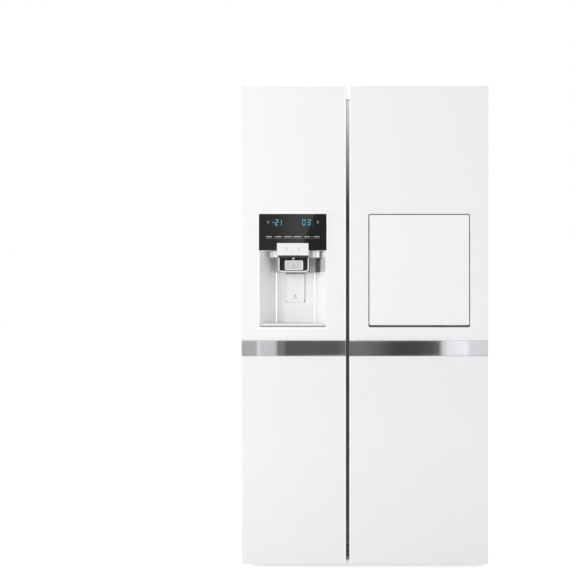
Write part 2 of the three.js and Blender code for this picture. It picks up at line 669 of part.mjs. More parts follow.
// square plate with a round mouth, and a four-armed motor mount on the compressor's side
function fanShroud() {
  const plate = block(grown([FAN_X, FAN_X], SHROUD_HALF), SHROUD_Y, [BASE_TOP, BASE_TOP + SHROUD_HEIGHT]);
  const mouth = rodX(FAN_RADIUS + 6, [FAN_X - THROUGH, FAN_X + THROUGH], FAN_Y, FAN_Z, 32);
  const armX = [FAN_X - FAN_MOTOR - 5, FAN_X - FAN_MOTOR];
  const reach = FAN_RADIUS + 12;
  const arms = join(
    block(armX, grown([FAN_Y, FAN_Y], reach), grown([FAN_Z, FAN_Z], ARM_HALF)),
    block(armX, grown([FAN_Y, FAN_Y], ARM_HALF), grown([FAN_Z, FAN_Z], reach)),
  );
  const posts = [[-1, 0], [1, 0], [0, -1], [0, 1]].map(([a, b]) =>
    rodX(5, [armX[0], FAN_X], FAN_Y + a * (reach - 5), FAN_Z + b * (reach - 5), 8));
  const motor = rodX(26, [armX[0] - 26, armX[1]], FAN_Y, FAN_Z, 20);
  const bore = rodX(FAN_SHAFT + CLEAR, [armX[0] - 14, armX[1] + THROUGH], FAN_Y, FAN_Z, 16);
  return cut(join(cut(plate, mouth), arms, ...posts, motor), bore);
}

function condenserFan() {
  const rotor = fanRotor({
    radius: FAN_RADIUS, hub: 20, blades: 5, width: 26, pitch: 0.5, shaft: FAN_SHAFT, reach: FAN_MOTOR + 12,
  });
  return rotor.rotate([0, 90, 0]).translate([FAN_X, FAN_Y, FAN_Z]);
}

function drainPan() {
  const z = [COMPRESSOR_TOP, COMPRESSOR_TOP + 34];
  return tub([COMPRESSOR_X - 130, COMPRESSOR_X + 130], [COMPRESSOR_Y - 84, COMPRESSOR_Y + 84], z, 2);
}

const VENT_LEFT = [-330, -200, 110, 240]; // left ends of the cover's slots
const VENT_LENGTH = 104;
const VENT_HEIGHT = 12;
const VENT_PITCH = 34;
const SPACER_RADIUS = 14;
const GLAND_RADIUS = 13;
const CORD_RADIUS = 5;
const GLAND_Z = BASE_TOP + 60;

// slotted cover of the machine bay, with stand-offs, the mains cord's gland and the water inlet
function bayCover() {
  const y = [CABINET_BACK - SHEET, CABINET_BACK];
  const rows = 5;
  const x = grown([-CORE_HALF, CORE_HALF], -2);
  const plate = block(x, y, [BASE_TOP + 2, BAY_TOP - CLEAR]);
  const slots = [];
  for (let row = 0; row < rows; row += 1) {
    const low = BASE_TOP + 60 + row * VENT_PITCH;
    for (const left of VENT_LEFT) {
      slots.push(block([left, left + VENT_LENGTH], grown(y, THROUGH), [low, low + VENT_HEIGHT]));
    }
  }
  const out = [CABINET_BACK - SHEET / 2, CABINET_BACK + REAR_STANDOFF];
  const spacers = [-1, 1].map((side) => rodY(SPACER_RADIUS, side * (CORE_HALF - 40), out, BASE_TOP + 40, 16));
  const gland = rodY(GLAND_RADIUS, 0, [out[0], out[1] - 4], GLAND_Z, 16);
  const cordHole = rodY(CORD_RADIUS, 0, [y[0] - THROUGH, out[1] + THROUGH], GLAND_Z, 12);
  const inlet = rodY(9, -30, [out[0], out[1] - 2], BASE_TOP + 150, 6);
  return cut(join(cut(plate, ...slots), ...spacers, gland, inlet), cordHole);
}

// ---------------------------------------------------------------- cold side of the freezer
const EVAP_SPACE = 74; // between the evaporator cover's front and the back wall
const EVAP_COVER = 3;
const EVAP_COVER_Y = ROOM_BACK - EVAP_SPACE;
const EVAP_ROWS = 6;
const EVAP_PITCH = 52;
const EVAP_COIL_Z = STEP_HIGH + 30;
const EVAP_FAN_RADIUS = 50;
const EVAP_FAN_Z = EVAP_COIL_Z + (EVAP_ROWS - 1) * EVAP_PITCH + 150;
const EVAP_Z = [STEP_HIGH + 6, ROOM_CEILING - 389];
const EVAP_VENTS_LOW = [60, 100, 140]; // slots above the cover's lower edge
const EVAP_VENTS_HIGH = [90, 60]; // and below its upper edge
const EVAP_FIN = 0.8; // half of a fin's thickness
const EVAP_FINS = 5;
const FREEZER_MID = (FREEZER_ROOM[0] + FREEZER_ROOM[1]) / 2;

function evaporatorCover() {
  const y = [EVAP_COVER_Y, EVAP_COVER_Y + EVAP_COVER];
  const plate = block(grown(FREEZER_ROOM, -CLEAR), y, EVAP_Z);
  const mouth = rodY(EVAP_FAN_RADIUS + 5, FREEZER_MID, grown(y, THROUGH), EVAP_FAN_Z, 28);
  const heights = [
    ...EVAP_VENTS_LOW.map((up) => EVAP_Z[0] + up),
    ...EVAP_VENTS_HIGH.map((down) => EVAP_Z[1] - down),
  ];
  const slots = heights.map((z) =>
    block(grown([FREEZER_MID, FREEZER_MID], 90), grown(y, THROUGH), [z, z + VENT_HEIGHT]));
  const armY = [y[1] + 18, y[1] + 22];
  const reach = EVAP_FAN_RADIUS + 12;
  const arm = block([FREEZER_MID - reach, FREEZER_MID + reach], armY, grown([EVAP_FAN_Z, EVAP_FAN_Z], 5));
  const posts = [-1, 1].map((side) =>
    rodY(5, FREEZER_MID + side * (reach - 5), [y[0] + 1, armY[1]], EVAP_FAN_Z, 8));
  const motor = rodY(18, FREEZER_MID, [armY[0], armY[1] + 20], EVAP_FAN_Z, 16);
  const bore = rodY(FAN_SHAFT + CLEAR, FREEZER_MID, [armY[0] - THROUGH, armY[1] + 12], EVAP_FAN_Z, 16);
  return cut(join(cut(plate, mouth, ...slots), arm, ...posts, motor), bore);
}

function evaporatorFan() {
  const rotor = fanRotor({
    radius: EVAP_FAN_RADIUS, hub: 14, blades: 5, width: 16, pitch: 0.5, shaft: FAN_SHAFT, reach: 30,
  });
  return rotor.rotate([90, 0, 0]).translate([FREEZER_MID, EVAP_COVER_Y + EVAP_COVER + 4, EVAP_FAN_Z]);
}

function evaporatorCoil() {
  const x = grown(FREEZER_ROOM, -36);
  const y = ROOM_BACK - 28;
  const low = EVAP_COIL_Z;
  const high = low + (EVAP_ROWS - 1) * EVAP_PITCH;
  const tubes = serpentine({ x, y, z: low, rows: EVAP_ROWS, pitch: EVAP_PITCH, radius: COIL_TUBE, sides: 6 });
  const finY = [y - 22, ROOM_BACK - CLEAR];
  const fins = [];
  for (let i = 0; i < EVAP_FINS; i += 1) {
    const at = x[0] + 14 + (i * (x[1] - x[0] - 28)) / (EVAP_FINS - 1);
    fins.push(block(grown([at, at], EVAP_FIN), finY, grown([low, high], 18)));
  }
  return join(tubes, ...fins);
}

// ---------------------------------------------------------------- compartments' furniture
const FRIDGE_SHELF_Z = [ROOM_CEILING - 349, STEP_HIGH + 228];
const FREEZER_SHELF_Z = [STEP_HIGH + 398];
const DRAWER_TOP_GAP = 8;
const DRAWER_FRONT = 12; // drawer's front wall ahead of its tub
const DRAWER_Z = [ROOM_FLOOR + CLEAR, STEP_LOW - 70];
const DRAWER_Y = [SHELF_FRONT + 20, ROOM_LOW_BACK - 30];
const DRAWER_SIDE = RUNNER + 2;
const GRIP_RADIUS = 60; // scoop in a drawer's front
const GRIP_RISE = 42; // its middle above the drawer's rim
const DUCT_PROUD = 26; // air duct in front of the back wall
const DUCT_HALF = 62;
const DUCT_SLOT_PITCH = 150;
const BIN_LOW = 430; // height of the door bins' floors
const FRIDGE_MID = (FRIDGE_ROOM[0] + FRIDGE_ROOM[1]) / 2;

function shelf(x, z, back) {
  const span = grown(x, -SHELF_SIDE_GAP);
  const top = z + SHELF_THICK;
  const plate = block(span, [SHELF_FRONT, back], [z, top]);
  const lipY = [SHELF_FRONT, SHELF_FRONT + SHELF_LIP];
  const lip = block(grown(span, -RUNNER - 1), lipY, [top - SHELF_BEZEL, top]);
  return join(plate, lip);
}

// open tub with a deeper front and a scooped grip in its upper edge
function drawer(x, y, z) {
  const body = tub(x, y, z, TUB_WALL);
  const front = block(x, [y[0] - DRAWER_FRONT, y[0] + 1], [z[0], z[1] + DRAWER_TOP_GAP / 2]);
  const middle = (x[0] + x[1]) / 2;
  const gripY = [y[0] - DRAWER_FRONT - THROUGH, y[0] + TUB_WALL + THROUGH];
  const grip = rodY(GRIP_RADIUS, middle, gripY, z[1] + GRIP_RISE, 24);
  return cut(join(body, front), grip);
}

function crisperDrawer() {
  return drawer(grown(FRIDGE_ROOM, -DRAWER_SIDE), DRAWER_Y, DRAWER_Z);
}

function freezerDrawer() {
  return drawer(grown(FREEZER_ROOM, -DRAWER_SIDE), DRAWER_Y, DRAWER_Z);
}

function airDuct() {
  const y = [ROOM_BACK - DUCT_PROUD, ROOM_BACK - CLEAR];
  const z = [STEP_HIGH + 60, ROOM_CEILING - 70];
  const middle = [FRIDGE_MID, FRIDGE_MID];
  const body = slabY(roundRect(grown(middle, DUCT_HALF), z, 20), y, 3);
  const inside = grown(z, -24);
  const hollow = block(grown(middle, DUCT_HALF - 6), [y[0] + 3, y[1] + THROUGH], inside);
  const slots = [];
  for (let low = STEP_HIGH + 130; low < ROOM_CEILING - 120; low += DUCT_SLOT_PITCH) {
    slots.push(block(grown(middle, 40), grown([y[0], y[0]], THROUGH), [low, low + 14]));
  }
  return cut(body, hollow, ...slots);
}

// ---------------------------------------------------------------- ice maker and bucket
const BUCKET_X = grown(FREEZER_ROOM, -3);
const BUCKET_Y = [CABINET_FRONT + 92, CABINET_FRONT + 420];
const BUCKET_Z = [ROOM_CEILING - 275, ROOM_CEILING - 149];
const BUCKET_WALL = 3;
const AUGER_Z = BUCKET_Z[0] + 42;
const AUGER_RADIUS = 30;
const AUGER_WIRE = 4;
const AUGER_SHAFT = 5;
const AUGER_TURNS = 4;
const TURN_STEPS = 10;
const MOULD_HALF = 52; // half the ice tray's width
const MOULD_CELLS = 6;
const MOULD_Y = [CABINET_FRONT + 170, CABINET_FRONT + 400];
const MOULD_Z = [ROOM_CEILING - 119, ROOM_CEILING - 47];

// ice maker: bracket on the ceiling, tray and drive box
function iceMaker() {
  const y = MOULD_Y;
  const z = MOULD_Z;
  const middle = [FREEZER_MID, FREEZER_MID];
  const tray = tub(grown(middle, MOULD_HALF), y, z, 4);
  const walls = [];
  for (let i = 1; i < MOULD_CELLS; i += 1) {
    const at = y[0] + (i * (y[1] - y[0])) / MOULD_CELLS;
    walls.push(block(grown(middle, MOULD_HALF - 2), grown([at, at], 1.5), [z[0] + 2, z[1] - 14]));
  }
  const drive = block(grown(middle, MOULD_HALF + 4), [y[0] - 44, y[0] + 1], grown(z, 8));
  const hangers = [-1, 1].map((side) => {
    const at = FREEZER_MID + side * (MOULD_HALF - 2);
    return block([at - 3, at + 3], grown(y, -20), [z[1] - 8, ROOM_CEILING]);
  });
  return join(tray, ...walls, drive, ...hangers);
}

// bucket with an outlet spout in its floor at the front and a bearing in its back wall
function iceBucket() {
  const body = tub(BUCKET_X, BUCKET_Y, BUCKET_Z, BUCKET_WALL);
  const spoutX = grown([DISP_MID, DISP_MID], 38);
  const outlet = block(spoutX, [BUCKET_Y[0] + 8, BUCKET_Y[0] + 58], grown(BUCKET_Z, THROUGH));
  const bore = rodY(AUGER_SHAFT + CLEAR, DISP_MID, grown([BUCKET_Y[1], BUCKET_Y[1]], THROUGH), AUGER_Z, 20);
  return cut(body, outlet, bore);
}

// wire helix that pushes the ice forward, driven through the bucket's back wall
function iceAuger() {
  const back = BUCKET_Y[1] - BUCKET_WALL - 2;
  const front = BUCKET_Y[0] + 66;
  const steps = AUGER_TURNS * TURN_STEPS;
  const points = [];
  for (let i = 0; i <= steps; i += 1) {
    const angle = (i / TURN_STEPS) * Math.PI * 2;
    const y = back - 6 - ((back - 6 - front) * i) / steps;
    points.push(new THREE.Vector3(Math.cos(angle) * AUGER_RADIUS, y, Math.sin(angle) * AUGER_RADIUS));
  }
  const path = new THREE.CatmullRomCurve3(points);
  const section = new THREE.Shape().absarc(0, 0, AUGER_WIRE, 0, Math.PI * 2);
  const helix = new THREE.ExtrudeGeometry(section, {
    steps, extrudePath: path, curveSegments: 3, bevelEnabled: false,
  });
  const plate = rodY(AUGER_RADIUS + AUGER_WIRE, 0, [back - 8, back], 0, 20);
  const shaft = rodY(AUGER_SHAFT, 0, [back - 4, BUCKET_Y[1] + 8], 0, 20);
  return join(solid(helix), plate, shaft).translate([DISP_MID, 0, AUGER_Z]);
}

// ---------------------------------------------------------------- doors
function pinBores(side) {
  const radius = PIN_RADIUS + CLEAR;
  return [
    rodZ(radius, pinX(side), PIN_Y, [DOOR_TOP - PIN_DEEP - 2, DOOR_TOP + THROUGH], 24),
    rodZ(radius, pinX(side), PIN_Y, [DOOR_LIFT - THROUGH, DOOR_LIFT + PIN_DEEP + 2], 24),
  ];
}

// channel in the door's inner edge that takes the fingers
function gripChannel(x, side) {
  const edge = side < 0 ? x[1] : x[0];
  const span = [edge + side * GRIP_DEEP, edge - side * THROUGH].sort((a, b) => a - b);
  const y = [DOOR_FACE + GRIP_INSET, DOOR_FACE + GRIP_INSET + GRIP_OPEN];
  const outline = roundRect(span, y, 6);
  return slabZ(outline, [DOOR_LIFT + GRIP_END, DOOR_TOP - GRIP_END], 2);
}

function doorBody(x, side, ...openings) {
  const pan = block(x, [DOOR_FACE, DOOR_BACK], [DOOR_LIFT, DOOR_TOP]);
  return cut(pan, gripChannel(x, side), ...pinBores(side), ...openings);
}

function upperGlass(x, opening) {
  const plate = block(x, [GLASS_FRONT, DOOR_FACE], [BAND_Z[1] + BAND_JOINT, DOOR_TOP]);
  return cut(plate, slabY(opening, grown([GLASS_FRONT, DOOR_FACE], THROUGH)));
}

function lowerGlass(x) {
  return block(x, [GLASS_FRONT, DOOR_FACE], [DOOR_LIFT, BAND_Z[0] - BAND_JOINT]);
}

function mirrorBand(x) {
  return block(x, [GLASS_FRONT - BAND_PROUD, DOOR_FACE], BAND_Z);
}

function doorGasket(room) {
  const x = grown(room, GASKET_MARGIN + GASKET_WIDTH);
  const z = grown(ROOM_Z, GASKET_MARGIN + GASKET_WIDTH);
  return ringY(x, z, GASKET_WIDTH, [DOOR_BACK, DOOR_BACK + GASKET]);
}

// inner liner of a door: a flat pan with a raised ridge just inside the compartment's mouth
function doorLiner(room) {
  const lip = GASKET_MARGIN - 1;
  const pan = block(grown(room, lip), [DOOR_BACK, DOOR_BACK + LINER], grown(ROOM_Z, lip));
  const x = grown(room, -DYKE_GAP);
  const z = grown(ROOM_Z, -DYKE_GAP);
  return join(pan, ringY(x, z, DYKE_WALL, [DOOR_BACK + 1, DOOR_BACK + GASKET + DYKE_DEEP]));
}

function doorBin(room, low) {
  const x = grown(room, -(DYKE_GAP + DYKE_WALL + CLEAR));
  const y = [DOOR_BACK + LINER + CLEAR, DOOR_BACK + LINER + BIN_DEEP];
  return tub(x, y, [low, low + BIN_HEIGHT], TUB_WALL);
}

// ---------------------------------------------------------------- dispenser
function dispenserOutline(grow) {
  return roundRect(grown(DISP_X, grow), grown(DISP_Z, grow), DISP_RADIUS);
}

// plan view of the recess, narrowing towards its back wall
function recessPlan(front, back, grow) {
  const lean = RECESS_TAPER / RECESS_DEEP;
  const half = RECESS_MOUTH_HALF - lean * (front - GLASS_FRONT) + grow;
  const rear = RECESS_MOUTH_HALF - lean * (back - GLASS_FRONT) + grow;
  return polygon([
    [DISP_MID - half, front],
    [DISP_MID + half, front],
    [DISP_MID + rear, back],
    [DISP_MID - rear, back],
  ]);
}

function paddleSpan(grow) {
  const x = grown([DISP_MID, DISP_MID], PADDLE_WIDTH / 2 + grow);
  const top = PANEL_LOW - PADDLE_DROP + grow;
  return { x, z: [top - PADDLE_HEIGHT - grow * 2, top] };
}

function ductProfile(shrink, past) {
  const bend = PANEL_LOW + 54;
  const high = DISP_Z[1] - 3;
  const front = [DUCT_Y[0] + shrink, DOOR_BACK + 5 + shrink];
  const back = [DUCT_Y[1] - shrink, DOOR_BACK + 5 + DUCT_DEEP - shrink];
  return polygon([
    [front[0], BLOCK_Z[0] - past],
    [back[0], BLOCK_Z[0] - past],
    [back[0], bend],
    [back[1], high],
    [back[1], DUCT_TOP_Z + past],
    [front[1], DUCT_TOP_Z + past],
    [front[1], high],
    [front[0], bend],
  ]);
}

const DUCT_X = grown([DISP_MID, DISP_MID], 54);

function ductBlock(grow) {
  return slabX(ductProfile(-grow, THROUGH), grown(DUCT_X, grow));
}

// moulded tub that fills the door's opening: tray for the panel above, tapered recess below
function dispenserHousing() {
  const front = GLASS_FRONT;
  const rim = slabY(dispenserOutline(-CLEAR), [front, front + PANEL_TRAY]);
  const outside = recessPlan(front, RECESS_WALL_Y + HOUSING, HOUSING);
  const around = slabZ(outside, [DISP_Z[0], PANEL_LOW + HOUSING]);
  const shell = around.intersect(slabY(dispenserOutline(-CLEAR), [front, HOUSING_BACK]));
  const pocket = paddleSpan(PADDLE_GAP);
  const pocketBox = block(grown(pocket.x, HOUSING), [RECESS_WALL_Y, HOUSING_BACK], grown(pocket.z, HOUSING));
  const inside = recessPlan(front - THROUGH, RECESS_WALL_Y, 0);
  const recess = slabZ(inside, [DISP_Z[0] + HOUSING + CLEAR, PANEL_LOW]);
  const travel = block(pocket.x, [RECESS_WALL_Y - THROUGH, RECESS_WALL_Y + PADDLE_POCKET], pocket.z);
  const panel = block(grown(DISP_X, -HOUSING / 2), [front - THROUGH, front + PANEL_GLASS],
    [PANEL_LOW - CLEAR, DISP_Z[1] - HOUSING / 2]);
  const chute = block(grown(BLOCK_X, 1), [front - THROUGH, front + PANEL_TRAY + THROUGH], grown(BLOCK_Z, 1));
  const brow = block(grown([DISP_MID, DISP_MID], BROW_WIDTH / 2 + 1), [front + 6, DUCT_Y[0] + 1],
    [PANEL_LOW - BROW_HEIGHT, PANEL_LOW + 1]);
  return cut(join(rim, shell, pocketBox), recess, travel, panel, chute, brow, ductBlock(1));
}

function dispenserPanel() {
  const y = [GLASS_FRONT, GLASS_FRONT + PANEL_GLASS - CLEAR];
  const inset = HOUSING / 2 + CLEAR;
  const face = slabY(roundRect(grown(DISP_X, -inset), [PANEL_LOW, DISP_Z[1] - inset], 4), y);
  return cut(face, block(grown(BLOCK_X, 1), grown(y, THROUGH), grown(BLOCK_Z, 1)));
}

// block in front of the panel, chute mouth below it, and the duct that rises to the ice bucket
function dispenserChute() {
  const mouthY = [GLASS_FRONT + MOUTH_BEHIND, DUCT_Y[0]];
  const mouthX = grown([DISP_MID, DISP_MID], BLOCK_WIDTH / 2 - 1);
  const mouthZ = [BLOCK_Z[0] - MOUTH_HEIGHT, BLOCK_Z[0] + 1];
  const face = slabY(roundRect(BLOCK_X, BLOCK_Z, 2), [FRONT, mouthY[1] + 1], 2);
  const brow = block(grown([DISP_MID, DISP_MID], BROW_WIDTH / 2), [GLASS_FRONT + BROW_BEHIND, DUCT_Y[0]],
    [PANEL_LOW - BROW_HEIGHT, PANEL_LOW - CLEAR]);
  const frame = slabY(roundRect(mouthX, mouthZ, 10), mouthY, 4);
  const hole = slabY(roundRect(grown(mouthX, -MOUTH_FRAME), [mouthZ[0] + MOUTH_FRAME, BLOCK_Z[0]], 7),
    [mouthY[0] - THROUGH, mouthY[1]], 4);
  const open = block(grown(mouthX, -MOUTH_FRAME), [mouthY[0] + 3, DUCT_Y[1] - DUCT_WALL],
    [mouthZ[0] - THROUGH, BLOCK_Z[0]]);
  const duct = slabX(ductProfile(0, 0), DUCT_X);
  const bore = slabX(ductProfile(DUCT_WALL, THROUGH), grown(DUCT_X, -DUCT_WALL));
  const pivots = [leverPivot(), flapPivot()].map(({ y, z }) =>
    rodX(LEVER_SHAFT + CLEAR, grown(DUCT_X, -DUCT_WALL / 3), y, z, 16));
  const mouth = cut(frame, hole, open);
  return cut(join(face, brow, mouth, cut(duct, bore)), ...pivots);
}

function leverPivot() {
  return { y: DUCT_Y[0] + DUCT_WALL + 10, z: BLOCK_Z[0] + 18 };
}

function flapPivot() {
  return { y: DUCT_Y[1] - DUCT_WALL - 5, z: PANEL_LOW + 44 };
}

// pad in the chute's mouth on two arms that hang from a cross shaft
function iceLever() {
  const { y, z } = leverPivot();
  const top = BLOCK_Z[0] - LEVER_DROP;
  const x = grown([DISP_MID, DISP_MID], LEVER_WIDTH / 2);
  const padY = [y - 6, y - 6 + LEVER_THICK];
  const pad = slabY(roundRect(x, [top - LEVER_HEIGHT, top], 4), padY, 3);
  const arms = x.map((at, i) => {
    const inner = i ? [at - 5, at - 1] : [at + 1, at + 5];
    return block(inner, padY, [top - 4, z + 1]);
  });
  const shaft = rodX(LEVER_SHAFT, grown(DUCT_X, -DUCT_WALL / 3 - CLEAR), y, z, 16);
  return join(pad, ...arms, shaft);
}

// flap across the duct that keeps warm air out of the bucket
function iceFlap() {
  const { y, z } = flapPivot();
  const front = DUCT_Y[0] + DUCT_WALL + 2;
  const x = grown(DUCT_X, -(DUCT_WALL + 1.5));
  const plate = block(x, [front, y + 1], [z - 1, z + 2]);
  return join(plate, rodX(LEVER_SHAFT, grown(DUCT_X, -DUCT_WALL / 3 - CLEAR), y, z, 16));
}

function waterLever() {
  const { x, z } = paddleSpan(0);
  const y = [RECESS_WALL_Y - 3, RECESS_WALL_Y - 3 + PADDLE_THICK];
  const pad = slabY(roundRect(x, z, 7), y, 4);
  return join(pad, rodX(2, grown(x, PADDLE_GAP + HOUSING / 2), RECESS_WALL_Y + 3, z[1] - 8, 12),
    block(grown(x, -8), [y[1] - 1, RECESS_WALL_Y + 4], [z[1] - 12, z[1] - 5]));
}

function waterPivotBore() {
  const { x, z } = paddleSpan(0);
  return rodX(2 + CLEAR, grown(x, PADDLE_GAP + HOUSING / 2 + CLEAR), RECESS_WALL_Y + 3, z[1] - 8, 12);
}

// slotted drip tray on the recess floor
function dripTray() {
  const z = [DISP_Z[0] + HOUSING + CLEAR * 2, DISP_Z[0] + HOUSING + TRAY_HEIGHT];
  const plan = recessPlan(GLASS_FRONT + 3, RECESS_WALL_Y - 4, -2.5);
  const slots = [];
  for (let i = 0; i < 5; i += 1) {
    const y = GLASS_FRONT + 22 + i * 14;
    slots.push(block(grown([DISP_MID, DISP_MID], 56), [y, y + 6], [z[0] + 3, z[1] + THROUGH]));
  }
  return cut(slabZ(plan, z), ...slots);
}

// insulated bulge of the freezer door's liner around the dispenser and its duct
function dispenserBump(grow) {
  const half = RECESS_BACK_HALF + BUMP_SIDE + grow;
  const low = [DISP_Z[0] - 34 - grow, DISP_Z[0] - 12 - grow];
  const profile = polygon([
    [DOOR_BACK - grow, low[0]],
    [BUMP_BACK + grow - LINER, low[1]],
    [BUMP_BACK + grow - LINER, DUCT_TOP_Z - CLEAR],
    [DOOR_BACK - grow, DUCT_TOP_Z - CLEAR],
  ]);
  return slabX(profile, grown([DISP_MID, DISP_MID], half));
}

function freezerDoorLiner() {
  const middle = [DISP_MID, DISP_MID];
  const bump = dispenserBump(LINER);
  const roof = [DUCT_TOP_Z - CLEAR - LINER, DUCT_TOP_Z + THROUGH];
  const hollow = cut(dispenserBump(0), block(grown(middle, WIDTH), grown([0, BUMP_BACK], WIDTH), roof));
  const behind = block(grown(middle, WIDTH), [DOOR_BACK - THROUGH * 2, DOOR_BACK], grown(ROOM_Z, THROUGH));
  return cut(join(doorLiner(FREEZER_ROOM), bump), hollow, behind, ductBlock(CLEAR));
}

function freezerDoorCut() {
  return slabY(dispenserOutline(0), grown([DOOR_FACE, DOOR_BACK], THROUGH));
}

// ---------------------------------------------------------------- home bar
function barOutline(grow) {
  return roundRect(grown(BAR_X, grow), grown(BAR_Z, grow), BAR_RADIUS);
}

function barPivot() {
  return { y: GLASS_FRONT + BAR_PIN_IN, z: BAR_DOOR_Z[0] + BAR_PIN_UP };
}

function barTunnel(y) {
  return slabY(roundRect(grown(BAR_X, -BAR_STOP), grown(BAR_Z, -BAR_STOP), 10), y, 4);
}

// frame through the door: a pocket for the small door, a stop flange, and the tunnel to the shelf
function homeBarFrame() {
  const back = DOOR_BACK + GASKET;
  const outer = slabY(barOutline(BAR_FRAME), [DOOR_FACE, back]);
  const pocket = slabY(barOutline(0), [DOOR_FACE - THROUGH, BAR_DOOR_BACK + BAR_SEAL]);
  const { y, z } = barPivot();
  const bore = rodX(BAR_PIN_RADIUS + CLEAR, grown(BAR_X, BAR_FRAME / 2), y, z, 16);
  return cut(outer, pocket, barTunnel([DOOR_FACE, back + THROUGH]), bore);
}

function homeBarGlass() {
  return slabY(roundRect(BAR_DOOR_X, BAR_DOOR_Z, BAR_RADIUS - 2), [GLASS_FRONT, DOOR_FACE]);
}

// foamed door behind the glass, with a sealing ring at its back and its two pivot pins
function homeBarDoor() {
  const body = slabY(roundRect(BAR_DOOR_X, BAR_DOOR_Z, BAR_RADIUS - 2), [DOOR_FACE, BAR_DOOR_BACK]);
  const sealX = grown(BAR_DOOR_X, -10);
  const sealZ = grown(BAR_DOOR_Z, -10);
  const seal = ringY(sealX, sealZ, 9, [BAR_DOOR_BACK - 1, BAR_DOOR_BACK + BAR_SEAL - 2]);
  const { y, z } = barPivot();
  const pins = rodX(BAR_PIN_RADIUS, grown(BAR_X, BAR_FRAME / 2 - CLEAR), y, z, 16);
  const ahead = block(grown(BAR_X, THROUGH), [FRONT - THROUGH, DOOR_FACE], grown(BAR_Z, THROUGH));
  return cut(join(body, seal, pins), ahead);
}

function fridgeDoorLiner() {
  const hole = slabY(barOutline(BAR_FRAME + CLEAR), grown([DOOR_BACK, DOOR_BACK + GASKET], THROUGH));
  return cut(doorLiner(FRIDGE_ROOM), hole);
}

function fridgeDoorCut() {
  return slabY(barOutline(BAR_FRAME + CLEAR), grown([DOOR_FACE, DOOR_BACK], THROUGH));
}

// ---------------------------------------------------------------- assembly
function addCabinet() {
  addNode("cabinet_shell", cabinetShell(), WHITE_STEEL);
  addNode("back_panel", backPanel(), ZINC_STEEL);
  addNode("cabinet_foam", cabinetFoam(), FOAM);
  addNode("freezer_liner", roomLiner(FREEZER_ROOM, [...FREEZER_SHELF_Z, BUCKET_Z[0]]), WHITE_PLASTIC);
  addNode("fridge_liner", roomLiner(FRIDGE_ROOM, FRIDGE_SHELF_Z), WHITE_PLASTIC);
  addNode("face_frame", faceFrame(), WHITE_STEEL);
  addNode("base_frame", baseFrame(), ZINC_STEEL);
  addNode("kick_grille", kickGrille(), WHITE_PLASTIC);
}

function addMachineBay() {
  addNode("compressor", compressor(), BLACK_STEEL);
  addNode("condenser_coil", condenserCoil(), COPPER_TUBE);
  addNode("fan_shroud", fanShroud(), BLACK_PLASTIC);
  addNode("condenser_fan", condenserFan(), GREY_PLASTIC);
  addNode("drain_pan", drainPan(), BLACK_PLASTIC);
  addNode("bay_cover", bayCover(), BLACK_PLASTIC);
}

function addRooms() {
  addNode("evaporator_coil", evaporatorCoil(), ALUMINIUM);
  addNode("evaporator_cover", evaporatorCover(), WHITE_PLASTIC);
  addNode("evaporator_fan", evaporatorFan(), BLACK_PLASTIC);
  addNode("air_duct", airDuct(), WHITE_PLASTIC);
  const back = ROOM_BACK - SHELF_BACK_GAP;
  addNode("fridge_shelf_upper", shelf(FRIDGE_ROOM, FRIDGE_SHELF_Z[0], back), SHELF_GLASS);
  addNode("fridge_shelf_lower", shelf(FRIDGE_ROOM, FRIDGE_SHELF_Z[1], back), SHELF_GLASS);
  addNode("crisper_drawer", crisperDrawer(), CLEAR_PLASTIC);
  addNode("freezer_shelf", shelf(FREEZER_ROOM, FREEZER_SHELF_Z[0], EVAP_COVER_Y - 6), SHELF_GLASS);
  addNode("freezer_drawer", freezerDrawer(), CLEAR_PLASTIC);
  addNode("ice_maker", iceMaker(), GREY_PLASTIC);
  addNode("ice_bucket", iceBucket(), CLEAR_PLASTIC);
  addNode("ice_auger", iceAuger(), ZINC_STEEL);
}

function addFeetAndHinges() {
  for (const [word, side] of [["left", -1], ["right", 1]]) {
    addNode(`top_hinge_${word}`, topHinge(side), ZINC_STEEL);
    addNode(`bottom_hinge_${word}`, bottomHinge(side), ZINC_STEEL);
    addNode(`hinge_cover_${word}`, hingeCover(side), WHITE_PLASTIC);
    addNode(`levelling_foot_${word}`, levellingFoot(side), DARK_RUBBER);
    addNode(`rear_roller_${word}`, rearRoller(side), DARK_RUBBER);
  }
}

function addDoorSet(name, x, side, room, opening, glassHole, liner) {
  addNode(`${name}_door_body`, doorBody(x, side, opening), WHITE_STEEL);
  addNode(`${name}_door_glass_upper`, upperGlass(x, glassHole), WHITE_GLASS);
  addNode(`${name}_door_band`, mirrorBand(x), MIRROR_METAL);
  addNode(`${name}_door_glass_lower`, lowerGlass(x), WHITE_GLASS);
  addNode(`${name}_door_liner`, liner, WHITE_PLASTIC);
  addNode(`${name}_door_gasket`, doorGasket(room), RUBBER);
  addNode(`${name}_door_bin`, doorBin(room, BIN_LOW), CLEAR_PLASTIC);
}

function addFreezerDoor() {
  const liner = freezerDoorLiner();
  addDoorSet("freezer", FREEZER_X, -1, FREEZER_ROOM, freezerDoorCut(), dispenserOutline(0), liner);
  addNode("dispenser_housing", cut(dispenserHousing(), waterPivotBore()), WHITE_PLASTIC);
  addNode("dispenser_panel", dispenserPanel(), BLACK_GLASS);
  addNode("dispenser_chute", dispenserChute(), WHITE_PLASTIC);
  addNode("ice_lever", iceLever(), GREY_PLASTIC);
  addNode("ice_flap", iceFlap(), DARK_RUBBER);
  addNode("water_lever", waterLever(), WHITE_PLASTIC);
  addNode("drip_tray", dripTray(), GREY_PLASTIC);
}

